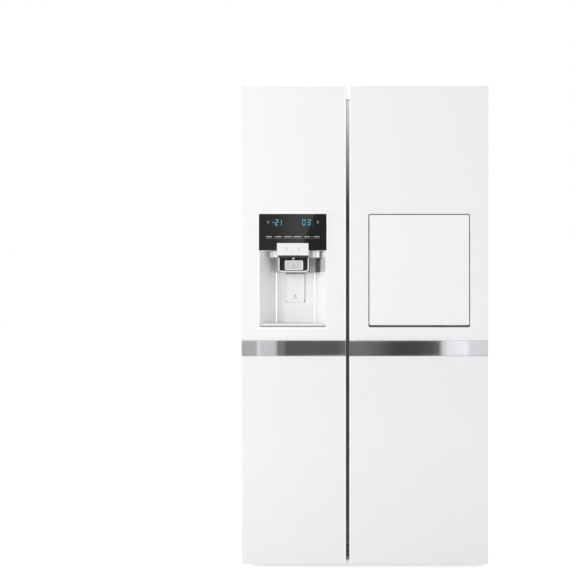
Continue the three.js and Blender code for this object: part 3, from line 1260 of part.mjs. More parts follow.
function addFridgeDoor() {
  const liner = fridgeDoorLiner();
  addDoorSet("fridge", FRIDGE_X, 1, FRIDGE_ROOM, fridgeDoorCut(), barOutline(0), liner);
  addNode("home_bar_frame", homeBarFrame(), WHITE_PLASTIC);
  addNode("home_bar_door", homeBarDoor(), WHITE_PLASTIC);
  addNode("home_bar_glass", homeBarGlass(), WHITE_GLASS);
}

addCabinet();
addMachineBay();
addRooms();
addFeetAndHinges();
addFreezerDoor();
addFridgeDoor();

export default model;
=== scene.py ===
"""Side by side refrigerator: finishes, trims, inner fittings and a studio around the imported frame.

Lengths in this file are millimetres until a piece is placed, which scales its mesh to metres.
"""

import logging
import math
from dataclasses import dataclass
from enum import Enum
from functools import lru_cache
from typing import Iterable, Sequence

import bmesh
import bpy
from mathutils import Matrix, Vector


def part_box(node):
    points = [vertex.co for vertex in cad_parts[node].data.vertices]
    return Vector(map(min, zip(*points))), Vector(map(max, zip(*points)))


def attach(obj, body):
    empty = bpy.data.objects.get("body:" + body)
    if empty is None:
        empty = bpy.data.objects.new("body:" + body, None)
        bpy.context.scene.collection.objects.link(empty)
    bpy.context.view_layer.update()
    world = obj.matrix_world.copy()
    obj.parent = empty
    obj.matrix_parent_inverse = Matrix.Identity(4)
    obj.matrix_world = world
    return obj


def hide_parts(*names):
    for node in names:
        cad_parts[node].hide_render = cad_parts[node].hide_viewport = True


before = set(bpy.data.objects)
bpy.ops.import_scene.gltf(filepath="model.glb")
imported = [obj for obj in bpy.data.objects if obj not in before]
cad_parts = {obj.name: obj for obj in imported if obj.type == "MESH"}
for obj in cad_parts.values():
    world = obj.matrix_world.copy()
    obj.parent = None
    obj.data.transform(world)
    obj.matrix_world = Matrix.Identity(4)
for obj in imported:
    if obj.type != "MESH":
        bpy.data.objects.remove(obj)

LOG = logging.getLogger("refrigerator")
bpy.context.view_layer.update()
MM = 0.001
SMOOTH_BELOW = math.radians(34)  # edges sharper than this stay sharp in the shading
SHARP_TURN = 1.0  # an angle in radians between two faces that makes their edge a rim
TOUCH = 1e-6  # lengths below this count as nought
CORNER_FACES = 4  # faces across each rounded corner of a plate
Colour = tuple[float, float, float]
Point = tuple[float, float, float]
Span = tuple[float, float]
Socket = bpy.types.NodeSocket
Vert, Edge, Face = bmesh.types.BMVert, bmesh.types.BMEdge, bmesh.types.BMFace


class Body(str, Enum):
    """The moving bodies of the frame that pieces ride on."""

    CABINET = "cabinet"
    FREEZER_DOOR = "freezer_door"
    FRIDGE_DOOR = "fridge_door"
    HOME_BAR = "home_bar"
    ICE_PAD = "ice_pad"
    WATER_PADDLE = "water_paddle"
    TRAY = "tray"
    BAY_FAN = "bay_fan"
    COLD_FAN = "cold_fan"
    AUGER = "auger"
    ROLLER_LEFT = "roller_left"
    ROLLER_RIGHT = "roller_right"


class Slot(str, Enum):
    """The record's material slots."""

    WHITE_GLASS = "white_glass"
    MIRROR_BAND = "mirror_band"
    WHITE_STEEL = "white_steel"
    ZINC_STEEL = "zinc_steel"
    BLACK_STEEL = "black_steel"
    COPPER_TUBE = "copper_tube"
    ALUMINIUM_FIN = "aluminium_fin"
    WHITE_PLASTIC = "white_plastic"
    GREY_PLASTIC = "grey_plastic"
    BLACK_PLASTIC = "black_plastic"
    BLACK_GLASS = "black_glass"
    CLEAR_PLASTIC = "clear_plastic"
    SHELF_GLASS = "shelf_glass"
    SEAL_RUBBER = "seal_rubber"
    DARK_RUBBER = "dark_rubber"
    FOAM = "foam"


class Relief(Enum):
    """The kinds of fine surface relief a finish may have."""

    NONE = "none"
    ORANGE_PEEL = "orange_peel"
    MOULDED = "moulded"
    BRUSHED = "brushed"
    CAST = "cast"
    CELLS = "cells"


class Axis(Enum):
    """The three directions a rod, plate or ring may face."""

    X = 0
    Y = 1
    Z = 2


# -------------------- materials
class Graph:
    """The node graph of one material, with the few textures the finishes share."""

    def __init__(self, name: str) -> None:
        """Starts an empty graph.

        Args:
            name: the material's name.
        """
        self.material = bpy.data.materials.new(name)
        self.material.use_nodes = True
        self.nodes = self.material.node_tree.nodes
        self.nodes.clear()
        self.coords = self.add("ShaderNodeTexCoord")
        self.output = self.add("ShaderNodeOutputMaterial")

    def add(self, kind: str, values: dict | None = None, **settings: object) -> bpy.types.Node:
        """Adds a node.

        Args:
            kind: the node's type.
            values: input sockets' values by name.
            **settings: the node's own properties.

        Returns:
            The new node.
        """
        node = self.nodes.new(kind)
        for key, value in settings.items():
            setattr(node, key, value)
        for key, value in (values or {}).items():
            node.inputs[key].default_value = value
        return node

    def link(self, source: Socket, target: Socket) -> None:
        """Joins two sockets."""
        self.material.node_tree.links.new(source, target)

    def noise(self, scale: float, detail: float, stretch: Point = (1, 1, 1)) -> Socket:
        """Makes a noise over the object's own coordinates.

        Args:
            scale: waves in a metre.
            detail: octaves of finer noise.
            stretch: how much the pattern is squeezed along each axis.

        Returns:
            The socket with the noise's value.
        """
        place = self.add("ShaderNodeMapping", {"Scale": stretch})
        self.link(self.coords.outputs["Object"], place.inputs["Vector"])
        noise = self.add("ShaderNodeTexNoise", {"Scale": scale, "Detail": detail})
        self.link(place.outputs["Vector"], noise.inputs["Vector"])
        return noise.outputs[0]

    def spread(self, value: Socket, low: float, high: float) -> Socket:
        """Maps the useful middle of a noise to a range.

        Args:
            value: the noise.
            low: the result where the noise is 0.2.
            high: the result where the noise is 0.8.

        Returns:
            The socket with the mapped value.
        """
        values = {"From Min": 0.2, "From Max": 0.8, "To Min": low, "To Max": high}
        node = self.add("ShaderNodeMapRange", values)
        self.link(value, node.inputs["Value"])
        return node.outputs["Result"]

    def ramp(self, value: Socket, stops: Sequence[tuple[float, Colour]]) -> Socket:
        """Colours a value.

        Args:
            value: the value, from 0 to 1.
            stops: place and colour of each stop.

        Returns:
            The socket with the colour.
        """
        node = self.add("ShaderNodeValToRGB")
        elements = node.color_ramp.elements
        while len(elements) < len(stops):
            elements.new(0.5)
        for element, (place, colour) in zip(elements, stops):
            element.position = place
            element.color = (*colour, 1)
        self.link(value, node.inputs["Fac"])
        return node.outputs["Color"]

    def bump(self, height: Socket, strength: float, reach: float) -> Socket:
        """Turns a height into a normal.

        Args:
            height: the height's socket.
            strength: from 0 to 1.
            reach: the height of a full step, in metres.

        Returns:
            The socket with the normal.
        """
        node = self.add("ShaderNodeBump", {"Strength": strength, "Distance": reach})
        self.link(height, node.inputs["Height"])
        return node.outputs["Normal"]

    def voronoi(self, scale: float, feature: str = "F1") -> Socket:
        """Makes a cell pattern over the object's own coordinates.

        Args:
            scale: cells in a metre.
            feature: what the pattern measures.

        Returns:
            The socket with the distance.
        """
        node = self.add("ShaderNodeTexVoronoi", {"Scale": scale}, feature=feature)
        self.link(self.coords.outputs["Object"], node.inputs["Vector"])
        return node.outputs["Distance"]


COAT_ROUGHNESS = 0.04
GLOSS_FINENESS = 3.7  # how much finer the gloss drifts than the colour


@dataclass(frozen=True)
class Finish:
    """A procedural finish: a colour that drifts a little, uneven gloss and a fine relief.

    The drifts are shares of the colour and the roughness, the scales are waves in a metre, and the
    relief's height is in metres.
    """

    name: str
    slot: Slot
    colour: Colour
    roughness: float
    drift: float = 0.012
    drift_scale: float = 5.0
    gloss_drift: float = 0.12
    relief: Relief = Relief.NONE
    relief_scale: float = 900.0
    relief_height: float = 0.00004
    relief_strength: float = 0.35
    stretch: Point = (1, 1, 1)
    metallic: float = 0.0
    coat: float = 0.0
    alpha: float = 1.0
    ior: float = 1.5
    glow: float = 0.0

    def height(self, graph: Graph) -> Socket | None:
        """Makes the relief's height.

        Args:
            graph: the material's graph.

        Returns:
            The height's socket, or None where the finish is plain.
        """
        if self.relief is Relief.NONE:
            return None
        if self.relief is Relief.MOULDED:
            return graph.voronoi(self.relief_scale)
        if self.relief is Relief.CELLS:
            return graph.voronoi(self.relief_scale, "SMOOTH_F1")
        detail = 6.0 if self.relief is Relief.CAST else 2.0
        return graph.noise(self.relief_scale, detail, self.stretch)

    def build(self) -> bpy.types.Material:
        """Builds the material.

        Returns:
            The material.
        """
        graph = Graph(self.name)
        values = {"Metallic": self.metallic, "IOR": self.ior, "Coat Weight": self.coat,
                  "Coat Roughness": COAT_ROUGHNESS, "Alpha": self.alpha}
        shader = graph.add("ShaderNodeBsdfPrincipled", values)
        dark = tuple(max(c * (1 - self.drift), 0) for c in self.colour)
        light = tuple(min(c * (1 + self.drift), 1) for c in self.colour)
        tint = graph.ramp(graph.noise(self.drift_scale, 4, self.stretch), [(0.3, dark), (0.7, light)])
        graph.link(tint, shader.inputs["Base Color"])
        rough = graph.noise(self.drift_scale * GLOSS_FINENESS, 5)
        low, high = self.roughness * (1 - self.gloss_drift), self.roughness * (1 + self.gloss_drift)
        graph.link(graph.spread(rough, low, high), shader.inputs["Roughness"])
        height = self.height(graph)
        if height is not None:
            normal = graph.bump(height, self.relief_strength, self.relief_height)
            graph.link(normal, shader.inputs["Normal"])
        if self.glow:
            shader.inputs["Emission Color"].default_value = (*self.colour, 1)
            shader.inputs["Emission Strength"].default_value = self.glow
        graph.link(shader.outputs["BSDF"], graph.output.inputs["Surface"])
        return graph.material


@lru_cache(maxsize=None)
def material(finish: Finish) -> bpy.types.Material:
    """Gives a finish's material, built once.

    Args:
        finish: the finish.

    Returns:
        Its material.
    """
    return finish.build()


# Each finish: name, slot, colour and roughness; the colour's drift, its scale and the gloss's drift;
# then the relief's kind, scale, height, strength and stretch where it has one.
WHITE_GLASS = Finish("white_glass", Slot.WHITE_GLASS, (0.83, 0.83, 0.845), 0.05, 0.004, 1.1, 0.35)
MIRROR = Finish("mirror_band", Slot.MIRROR_BAND, (0.88, 0.88, 0.89), 0.035, 0.01, 4.0, 0.3,
                Relief.BRUSHED, 60.0, 0.00002, 0.05, (0.15, 1, 4), metallic=1.0)
CHROME = Finish("chrome_trim", Slot.MIRROR_BAND, (0.78, 0.78, 0.8), 0.08, 0.01, 4.0, 0.2, metallic=1.0)
WHITE_STEEL = Finish("white_steel", Slot.WHITE_STEEL, (0.83, 0.83, 0.84), 0.32, 0.008, 3.0, 0.08,
                     Relief.ORANGE_PEEL, 110.0, 0.00003, 0.12, coat=0.2)
INNER_STEEL = Finish("door_pan_steel", Slot.WHITE_STEEL, (0.8, 0.8, 0.81), 0.36, 0.01, 4.0, 0.1,
                     Relief.ORANGE_PEEL, 120.0, 0.00003, 0.12)
ZINC = Finish("zinc_steel", Slot.ZINC_STEEL, (0.52, 0.53, 0.54), 0.38, 0.14, 38.0, 0.25,
              Relief.CELLS, 90.0, 0.00003, 0.2, metallic=1.0)
GALVANISED = Finish("galvanised_sheet", Slot.ZINC_STEEL, (0.6, 0.61, 0.62), 0.5, 0.07, 55.0, 0.12,
                    Relief.CELLS, 60.0, 0.00003, 0.2, metallic=0.65)
SCREW = Finish("screw_steel", Slot.ZINC_STEEL, (0.6, 0.59, 0.56), 0.3, 0.06, 60.0, 0.2, metallic=1.0)
BLACK_ENAMEL = Finish("black_enamel", Slot.BLACK_STEEL, (0.022, 0.022, 0.024), 0.34, 0.2, 14.0, 0.3,
                      Relief.CAST, 320.0, 0.0001, 0.3, coat=0.3)
COPPER = Finish("copper_tube", Slot.COPPER_TUBE, (0.62, 0.31, 0.17), 0.3, 0.22, 30.0, 0.35,
                Relief.BRUSHED, 500.0, 0.00003, 0.15, metallic=1.0)
ALUMINIUM = Finish("aluminium_fin", Slot.ALUMINIUM_FIN, (0.7, 0.71, 0.72), 0.32, 0.06, 30.0, 0.25,
                   Relief.BRUSHED, 900.0, 0.00002, 0.2, (1, 6, 1), metallic=1.0)
WHITE_PLASTIC = Finish("white_plastic", Slot.WHITE_PLASTIC, (0.83, 0.83, 0.835), 0.34, 0.008, 6.0, 0.1,
                       Relief.MOULDED, 600.0, 0.00001, 0.05)
GLOSS_PLASTIC = Finish("gloss_white_plastic", Slot.WHITE_PLASTIC, (0.85, 0.845, 0.855), 0.14,
                       0.006, 5.0, 0.2, coat=0.3)
LINER_PLASTIC = Finish("liner_plastic", Slot.WHITE_PLASTIC, (0.85, 0.855, 0.86), 0.33, 0.008, 2.5, 0.1,
                       Relief.ORANGE_PEEL, 90.0, 0.00003, 0.1, coat=0.15)
GREY_PLASTIC = Finish("grey_plastic", Slot.GREY_PLASTIC, (0.5, 0.505, 0.51), 0.4, 0.02, 8.0, 0.12,
                      Relief.MOULDED, 2200.0, 0.00003, 0.2)
LEVER_PLASTIC = Finish("lever_plastic", Slot.GREY_PLASTIC, (0.6, 0.605, 0.61), 0.22, 0.015, 12.0, 0.12)
GRIP_PLASTIC = Finish("grip_plastic", Slot.GREY_PLASTIC, (0.105, 0.1, 0.108), 0.42, 0.05, 9.0, 0.15,
                      Relief.MOULDED, 1800.0, 0.00003, 0.25)
BLACK_PLASTIC = Finish("black_plastic", Slot.BLACK_PLASTIC, (0.022, 0.022, 0.024), 0.42, 0.1, 10.0, 0.15,
                       Relief.MOULDED, 2000.0, 0.00003, 0.25)
BLACK_GLASS = Finish("black_glass", Slot.BLACK_GLASS, (0.015, 0.014, 0.0145), 0.025, 0.06, 6.0, 0.3,
                     coat=0.2)
DISPLAY_WINDOW = Finish("display_window", Slot.BLACK_GLASS, (0.016, 0.016, 0.018), 0.08, 0.05, 9.0, 0.2)
CLEAR_PLASTIC = Finish("clear_plastic", Slot.CLEAR_PLASTIC, (0.8, 0.87, 0.9), 0.07, 0.01, 6.0, 0.3,
                       alpha=0.34, ior=1.49)
FROSTED_PLASTIC = Finish("frosted_plastic", Slot.CLEAR_PLASTIC, (0.82, 0.87, 0.9), 0.34, 0.01, 6.0, 0.1,
                         Relief.MOULDED, 1500.0, 0.00005, 0.3, alpha=0.62, ior=1.49)
SHELF_GLASS = Finish("shelf_glass", Slot.SHELF_GLASS, (0.72, 0.86, 0.83), 0.04, 0.01, 4.0, 0.3,
                     alpha=0.32)
SEAL = Finish("seal_rubber", Slot.SEAL_RUBBER, (0.7, 0.7, 0.705), 0.55, 0.015, 12.0, 0.1,
              Relief.CAST, 700.0, 0.00005, 0.2)
DARK_RUBBER = Finish("dark_rubber", Slot.DARK_RUBBER, (0.03, 0.03, 0.03), 0.65, 0.15, 30.0, 0.15,
                     Relief.CAST, 500.0, 0.00008, 0.35)
FOAM = Finish("insulating_foam", Slot.FOAM, (0.78, 0.71, 0.46), 0.85, 0.09, 40.0, 0.1,
              Relief.CELLS, 520.0, 0.0003, 0.6)
DIGIT_GLOW = Finish("digit_glow", Slot.BLACK_GLASS, (0.1, 0.4, 0.54), 0.3, 0.03, 40.0, 0.1, glow=0.5)
MARK_PRINT = Finish("mark_print", Slot.BLACK_GLASS, (0.42, 0.42, 0.43), 0.3, 0.04, 60.0, 0.1)
ICON_PRINT = Finish("icon_print", Slot.GREY_PLASTIC, (0.34, 0.34, 0.35), 0.35, 0.04, 60.0, 0.1)
LAMP_LENS = Finish("lamp_lens", Slot.CLEAR_PLASTIC, (0.9, 0.92, 0.95), 0.25, 0.01, 20.0, 0.1,
                   Relief.BRUSHED, 300.0, 0.00008, 0.3, glow=0.35)
ICE = Finish("ice_cubes", Slot.CLEAR_PLASTIC, (0.86, 0.92, 0.97), 0.12, 0.03, 50.0, 0.4,
             Relief.CAST, 120.0, 0.0002, 0.3, alpha=0.7, ior=1.31)
RECESS_PLASTIC = Finish("recess_plastic", Slot.WHITE_PLASTIC, (0.87, 0.87, 0.875), 0.32, 0.006, 5.0, 0.08,
                        Relief.ORANGE_PEEL, 90.0, 0.00001, 0.05)
BLOCK_PLASTIC = Finish("block_plastic", Slot.WHITE_PLASTIC, (0.8, 0.8, 0.81), 0.2, 0.005, 6.0, 0.15,
                       coat=0.2)
PADDLE_PLASTIC = Finish("paddle_plastic", Slot.WHITE_PLASTIC, (0.975, 0.975, 0.975), 0.31,
                        0.006, 8.0, 0.08)
# grey of the bar's white facing, painted shade under the black panel
BROW_SHADE = Finish("brow_plastic", Slot.WHITE_PLASTIC, (0.55, 0.55, 0.56), 0.34, 0.01, 8.0, 0.12)
# near black that paints the shade inside the chute's mouth
CAVITY_SHADE = Finish("cavity_plastic", Slot.GREY_PLASTIC, (0.05, 0.048, 0.05), 0.4, 0.06, 14.0, 0.15)
BAR_GLASS = Finish("bar_glass", Slot.WHITE_GLASS, (0.85, 0.845, 0.862), 0.05, 0.004, 1.4, 0.35)
MARK_BRIGHT = Finish("mark_bright", Slot.BLACK_GLASS, (0.62, 0.62, 0.63), 0.3, 0.04, 60.0, 0.1,
                     glow=0.1)
# near white that paints the highlight on the glass's polished edge
EDGE_HIGHLIGHT = Finish("edge_strip", Slot.WHITE_GLASS, (0.95, 0.95, 0.955), 0.12, 0.006, 3.0, 0.2)
CORNER_BEAD = Finish("corner_bead", Slot.WHITE_PLASTIC, (0.97, 0.97, 0.97), 0.2, 0.004, 6.0, 0.15)
# grey of the painted shadow on the drip tray's front lip
SILL_SHADE = Finish("tray_lip", Slot.GREY_PLASTIC, (0.3, 0.3, 0.3), 0.35, 0.02, 12.0, 0.15)
# darker grey of the bar's white facing, deeper painted shade
BROW_DEEP_SHADE = Finish("brow_light", Slot.GREY_PLASTIC, (0.38, 0.375, 0.38), 0.32, 0.02, 12.0, 0.08)
# painted shadow of the block on the recess's right wall, dark deep in and paler in front
WALL_SHADOW_DARK = Finish("recess_cheek_dark", Slot.GREY_PLASTIC, (0.17, 0.155, 0.165), 0.32, 0.03, 12.0, 0.08)
WALL_SHADOW_PALE = Finish("recess_cheek_pale", Slot.GREY_PLASTIC, (0.56, 0.53, 0.55), 0.32, 0.02, 12.0, 0.08)
TRIM_WHITE = Finish("dispenser_trim", Slot.WHITE_PLASTIC, (0.9, 0.9, 0.91), 0.16, 0.006, 6.0, 0.15)
# paler grey of the bar's white facing, lighter painted shade
BROW_HALF_SHADE = Finish("brow_pale", Slot.WHITE_PLASTIC, (0.74, 0.735, 0.745), 0.32, 0.01, 8.0, 0.08)
# whiter than the recess walls: partly the insert's own white and partly painted light on the back wall
INSERT_WHITE_LIT = Finish("recess_insert", Slot.WHITE_PLASTIC, (0.99, 0.99, 0.99), 0.22, 0.004, 5.0, 0.12)
BEAD_CHROME = Finish("bead_chrome", Slot.MIRROR_BAND, (0.95, 0.95, 0.95), 0.26, 0.004, 6.0, 0.1,
                     metallic=1.0)


# -------------------- measuring and shaping
@dataclass(frozen=True)
class Block:
    """An axis-aligned box in millimetres."""

    x: Span
    y: Span
    z: Span

    @classmethod
    def of(cls, node: str) -> "Block":
        """Measures a CAD node.

        Args:
            node: the node's name.

        Returns:
            Its box at rest.
        """
        low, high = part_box(node)
        return cls(*((low[i] / MM, high[i] / MM) for i in range(3)))

    @property
    def mid(self) -> Vector:
        """The box's middle."""
        return Vector((sum(self.x) / 2, sum(self.y) / 2, sum(self.z) / 2))


def grown(span: Span, by: float) -> Span:
    """Moves both ends of a span outwards, or inwards with a negative amount."""
    return span[0] - by, span[1] + by


def around(middle: float, half: float) -> Span:
    """Makes the span that reaches half to each side of a middle."""
    return middle - half, middle + half


def onward(start: float, by: float) -> Span:
    """Makes the span between a place and the one that lies a signed amount from it."""
    return (start, start + by) if by > 0 else (start + by, start)


def steps(low: float, high: float, count: int) -> list[float]:
    """Gives evenly spaced places from low to high, both included."""
    return [low + (high - low) * i / (count - 1) for i in range(count)]


def facing(axis: Axis) -> Matrix:
    """Gives the turn that lays a shape made along Z along another axis.

    Args:
        axis: the other axis.

    Returns:
        The turn.
    """
    if axis is Axis.X:
        return Matrix.Rotation(math.pi / 2, 4, "Y")
    if axis is Axis.Y:
        return Matrix.Rotation(-math.pi / 2, 4, "X")
    return Matrix.Identity(4)


class Shape:
    """A mesh under construction, in millimetres and in the frame's own axes."""

    def __init__(self) -> None:
        """Starts an empty mesh."""
        self.bm = bmesh.new()

    def bevel(self, parts: Iterable[Edge | Vert], width: float, segments: int,
              affect: str = "EDGES") -> None:
        """Rounds edges or the corners of a flat face.

        Args:
            parts: the edges or the corners.
            width: how far the rounding reaches.
            segments: faces across the rounding.
            affect: EDGES or VERTICES.
        """
        bmesh.ops.bevel(self.bm, geom=list(parts), offset=width, offset_type="OFFSET", segments=segments,
                        profile=0.5, affect=affect, clamp_overlap=True, material=-1)

    def since(self, before: set[Vert]) -> list[Vert]:
        """Gives the vertices that weren't there before."""
        return [v for v in self.bm.verts if v not in before]

    def faces_since(self, before: set[Vert]) -> list[Face]:
        """Gives the faces that have only new vertices."""
        return [f for f in self.bm.faces if not set(f.verts) & before]

    def push(self, faces: list[Face], by: Point) -> None:
        """Gives flat faces a thickness.

        Args:
            faces: the faces.
            by: how far their copies are pushed.
        """
        pushed = bmesh.ops.extrude_face_region(self.bm, geom=faces)["geom"]
        moved = [v for v in pushed if isinstance(v, Vert)]
        bmesh.ops.translate(self.bm, vec=by, verts=moved)

    def mend(self, before: set[Vert]) -> None:
        """Turns the normals of all new faces outwards."""
        faces = {f for v in self.since(before) for f in v.link_faces}
        bmesh.ops.recalc_face_normals(self.bm, faces=list(faces))

    def box(self, x: Span, y: Span, z: Span, bevel: float = 0.0, segments: int = 2) -> "Shape":
        """Adds a block with eased edges.

        Args:
            x: its span along X.
            y: its span along Y.
            z: its span along Z.
            bevel: radius of its edges.
            segments: faces across each edge.

        Returns:
            The shape itself.
        """
        made = bmesh.ops.create_cube(self.bm, size=1.0)["verts"]
        size = Vector((x[1] - x[0], y[1] - y[0], z[1] - z[0]))
        bmesh.ops.scale(self.bm, vec=size, verts=made)
        bmesh.ops.translate(self.bm, vec=(sum(x) / 2, sum(y) / 2, sum(z) / 2), verts=made)
        if bevel:
            self.bevel({e for v in made for e in v.link_edges}, bevel, segments)
        return self

    def plate(self, x: Span, y: Span, z: Span, axis: Axis, radius: float, bevel: float = 0.0) -> "Shape":
        """Adds a block whose four edges along one axis are well rounded.

        Args:
            x: its span along X.
            y: its span along Y.
            z: its span along Z.
            axis: the direction the rounded edges run.
            radius: their radius.
            bevel: radius of the rims, or nought for sharp rims.

        Returns:
            The shape itself.
        """
        before = set(self.bm.verts)
        self.box(x, y, z)
        edges = {e for v in self.since(before) for e in v.link_edges}
        along = [e for e in edges if abs((e.verts[0].co - e.verts[1].co)[axis.value]) > TOUCH]
        self.bevel(along, radius, CORNER_FACES)
        if bevel:
            rims = {e for v in self.since(before) for e in v.link_edges
                    if abs((e.verts[0].co - e.verts[1].co)[axis.value]) < TOUCH
                    and len(e.link_faces) == 2 and e.calc_face_angle(0) > SHARP_TURN}
            self.bevel(rims, bevel, 2)
        return self

    def rod(self, at: Point, axis: Axis, radius: float, length: float, sides: int = 20,
            bevel: float = 0.0) -> "Shape":
        """Adds a cylinder centred on a point.

        Args:
            at: its middle.
            axis: its direction.
            radius: its radius.
            length: its length.
            sides: faces around it.
            bevel: radius of its rims.

        Returns:
            The shape itself.
        """
        made = bmesh.ops.create_cone(self.bm, cap_ends=True, segments=sides, radius1=radius,
                                     radius2=radius, depth=length,
                                     matrix=Matrix.Translation(at) @ facing(axis))["verts"]
        if bevel:
            rims = {e for v in made for e in v.link_edges if e.calc_face_angle(0) > SHARP_TURN}
            self.bevel(rims, bevel, 2)
        return self

    def lathe(self, profile: Sequence[Span], at: Point, axis: Axis, turns: int = 32) -> "Shape":
        """Adds a turned shape.

        Args:
            profile: radius and height of each point, from one end to the other.
            at: the point the heights start from.
            axis: the axis of the turning.
            turns: faces around it.

        Returns:
            The shape itself.
        """
        place = Matrix.Translation(at) @ facing(axis)
        before = set(self.bm.verts)
        verts = [self.bm.verts.new((radius, 0, height)) for radius, height in profile]
        edges = [self.bm.edges.new(pair) for pair in zip(verts, verts[1:])]
        if min(profile[0][0], profile[-1][0]) > 0:
            edges.append(self.bm.edges.new((verts[-1], verts[0])))
        bmesh.ops.spin(self.bm, geom=verts + edges, cent=(0, 0, 0), axis=(0, 0, 1), angle=math.tau,
                       steps=turns, use_merge=True, use_duplicate=False)
        bmesh.ops.remove_doubles(self.bm, verts=self.since(before), dist=0.001)
        self.mend(before)
        bmesh.ops.transform(self.bm, matrix=place, verts=self.since(before))
        return self

    def ring(self, x: Span, z: Span, wall: float, y: Span, radius: float = 0.0,
             bevel: float = 0.0) -> "Shape":
        """Adds a rectangular ring that faces along Y.

        Args:
            x: its outer span along X.
            z: its outer span along Z.
            wall: its width.
            y: its thickness.
            radius: radius of its outer corners.
            bevel: radius of its edges.

        Returns:
            The shape itself.
        """
        before = set(self.bm.verts)
        self.outline(x, z, y[0], radius)
        face = self.faces_since(before)
        bmesh.ops.inset_region(self.bm, faces=face, thickness=wall, use_even_offset=True, use_boundary=True)
        bmesh.ops.delete(self.bm, geom=face, context="FACES_ONLY")
        self.push(self.faces_since(before), (0, y[1] - y[0], 0))
        self.mend(before)
        if bevel:
            rims = {e for v in self.since(before) for e in v.link_edges
                    if e.calc_face_angle(0) > SHARP_TURN}
            self.bevel(rims, bevel, 2)
        return self

    def outline(self, x: Span, z: Span, y: float, radius: float) -> "Shape":
        """Adds one flat face that looks towards -Y.

        Args:
            x: its span along X.
            z: its span along Z.
            y: its place along Y.
            radius: radius of its corners.

        Returns:
            The shape itself.
        """
        corners = [(x[0], z[0]), (x[1], z[0]), (x[1], z[1]), (x[0], z[1])]
        verts = [self.bm.verts.new((u, y, w)) for u, w in corners]
        self.bm.faces.new(verts)
        if radius:
            self.bevel(verts, radius, 5, "VERTICES")
        return self

    def tub(self, x: Span, y: Span, z: Span, wall: float, radius: float, foot: float) -> "Shape":
        """Adds an open-topped tub with rounded corners.

        Args:
            x: its outer span along X.
            y: its outer span along Y.
            z: its span along Z.
            wall: its thickness.
            radius: radius of its upright corners.
            foot: radius of its lower edge.

        Returns:
            The shape itself.
        """
        before = set(self.bm.verts)
        self.plate(x, y, z, Axis.Z, radius)
        top = [f for f in self.faces_since(before) if f.normal.z > 0.9]
        bmesh.ops.delete(self.bm, geom=top, context="FACES_ONLY")
        low = {e for v in self.since(before) for e in v.link_edges
               if len(e.link_faces) == 2 and max(p.co.z for p in e.verts) < z[0] + 0.01
               and e.calc_face_angle(0) > SHARP_TURN}
        self.bevel(low, foot, 2)
        bmesh.ops.solidify(self.bm, geom=self.faces_since(before), thickness=wall)
        return self

    def pane(self, x: Span, z: Span, y: Span, radius: float = 0.0) -> "Shape":
        """Adds a thin closed plate that faces along Y, with rounded corners.

        Args:
            x: its span along X.
            z: its span along Z.
            y: its thickness.
            radius: radius of its corners.

        Returns:
            The shape itself.
        """
        before = set(self.bm.verts)
        self.outline(x, z, y[0], radius)
        self.push(self.faces_since(before), (0, y[1] - y[0], 0))
        self.mend(before)
        return self

    def tube(self, points: Sequence[Point], radius: float, sides: int = 10) -> "Shape":
        """Adds a tube along a smooth path.

        Args:
            points: the path's points.
            radius: the tube's radius.
            sides: faces around it.

        Returns:
            The shape itself.
        """
        curve = bpy.data.curves.new("path", "CURVE")
        curve.dimensions = "3D"
        curve.bevel_depth = radius
        curve.bevel_resolution = max(0, sides // 4 - 1)
        curve.resolution_u = 5
        curve.use_fill_caps = True
        spline = curve.splines.new("BEZIER")
        spline.bezier_points.add(len(points) - 1)
        for knot, point in zip(spline.bezier_points, points):
            knot.co = point
            knot.handle_left_type = knot.handle_right_type = "AUTO"
        holder = bpy.data.objects.new("path", curve)
        bpy.context.scene.collection.objects.link(holder)
        mesh = bpy.data.meshes.new_from_object(holder)
        before = set(self.bm.verts)
        self.bm.from_mesh(mesh)
        bmesh.ops.remove_doubles(self.bm, verts=self.since(before), dist=0.005)
        bpy.data.objects.remove(holder)
        bpy.data.curves.remove(curve)
        bpy.data.meshes.remove(mesh)
        return self

    def screw(self, at: Point, radius: float) -> "Shape":
        """Adds a pan-head screw with a sunk middle, whose head faces the back.

        Args:
            at: the middle of the head's seat.
            radius: the head's radius.

        Returns:
            The shape itself.
        """
        rise = radius * 0.55
        profile = [(0.0, -0.3), (radius, -0.3), (radius, rise * 0.45), (radius * 0.8, rise * 0.85),
                   (radius * 0.42, rise), (radius * 0.3, rise * 0.5), (0.0, rise * 0.42)]
        return self.lathe(profile, at, Axis.Y, 16)

    def turned(self, angle: float, axis: Axis) -> "Shape":
        """Turns everything made so far about the origin.

        Args:
            angle: the angle in degrees.
            axis: the axis's direction.

        Returns:
            The shape itself.
        """
        turn = Matrix.Rotation(math.radians(angle), 3, axis.name)
        bmesh.ops.rotate(self.bm, cent=(0, 0, 0), matrix=turn, verts=list(self.bm.verts))
        return self

    def moved(self, by: Point) -> "Shape":
        """Moves everything made so far.

        Args:
            by: how far it moves along each axis.

        Returns:
            The shape itself.
        """
        bmesh.ops.translate(self.bm, vec=by, verts=list(self.bm.verts))
        return self

    def add(self, other: "Shape") -> "Shape":
        """Takes in another shape's mesh.

        Args:
            other: the other shape, which is used up.

        Returns:
            The shape itself.
        """
        mesh = bpy.data.meshes.new("taken_in")
        other.bm.to_mesh(mesh)
        other.bm.free()
        self.bm.from_mesh(mesh)
        bpy.data.meshes.remove(mesh)
        return self

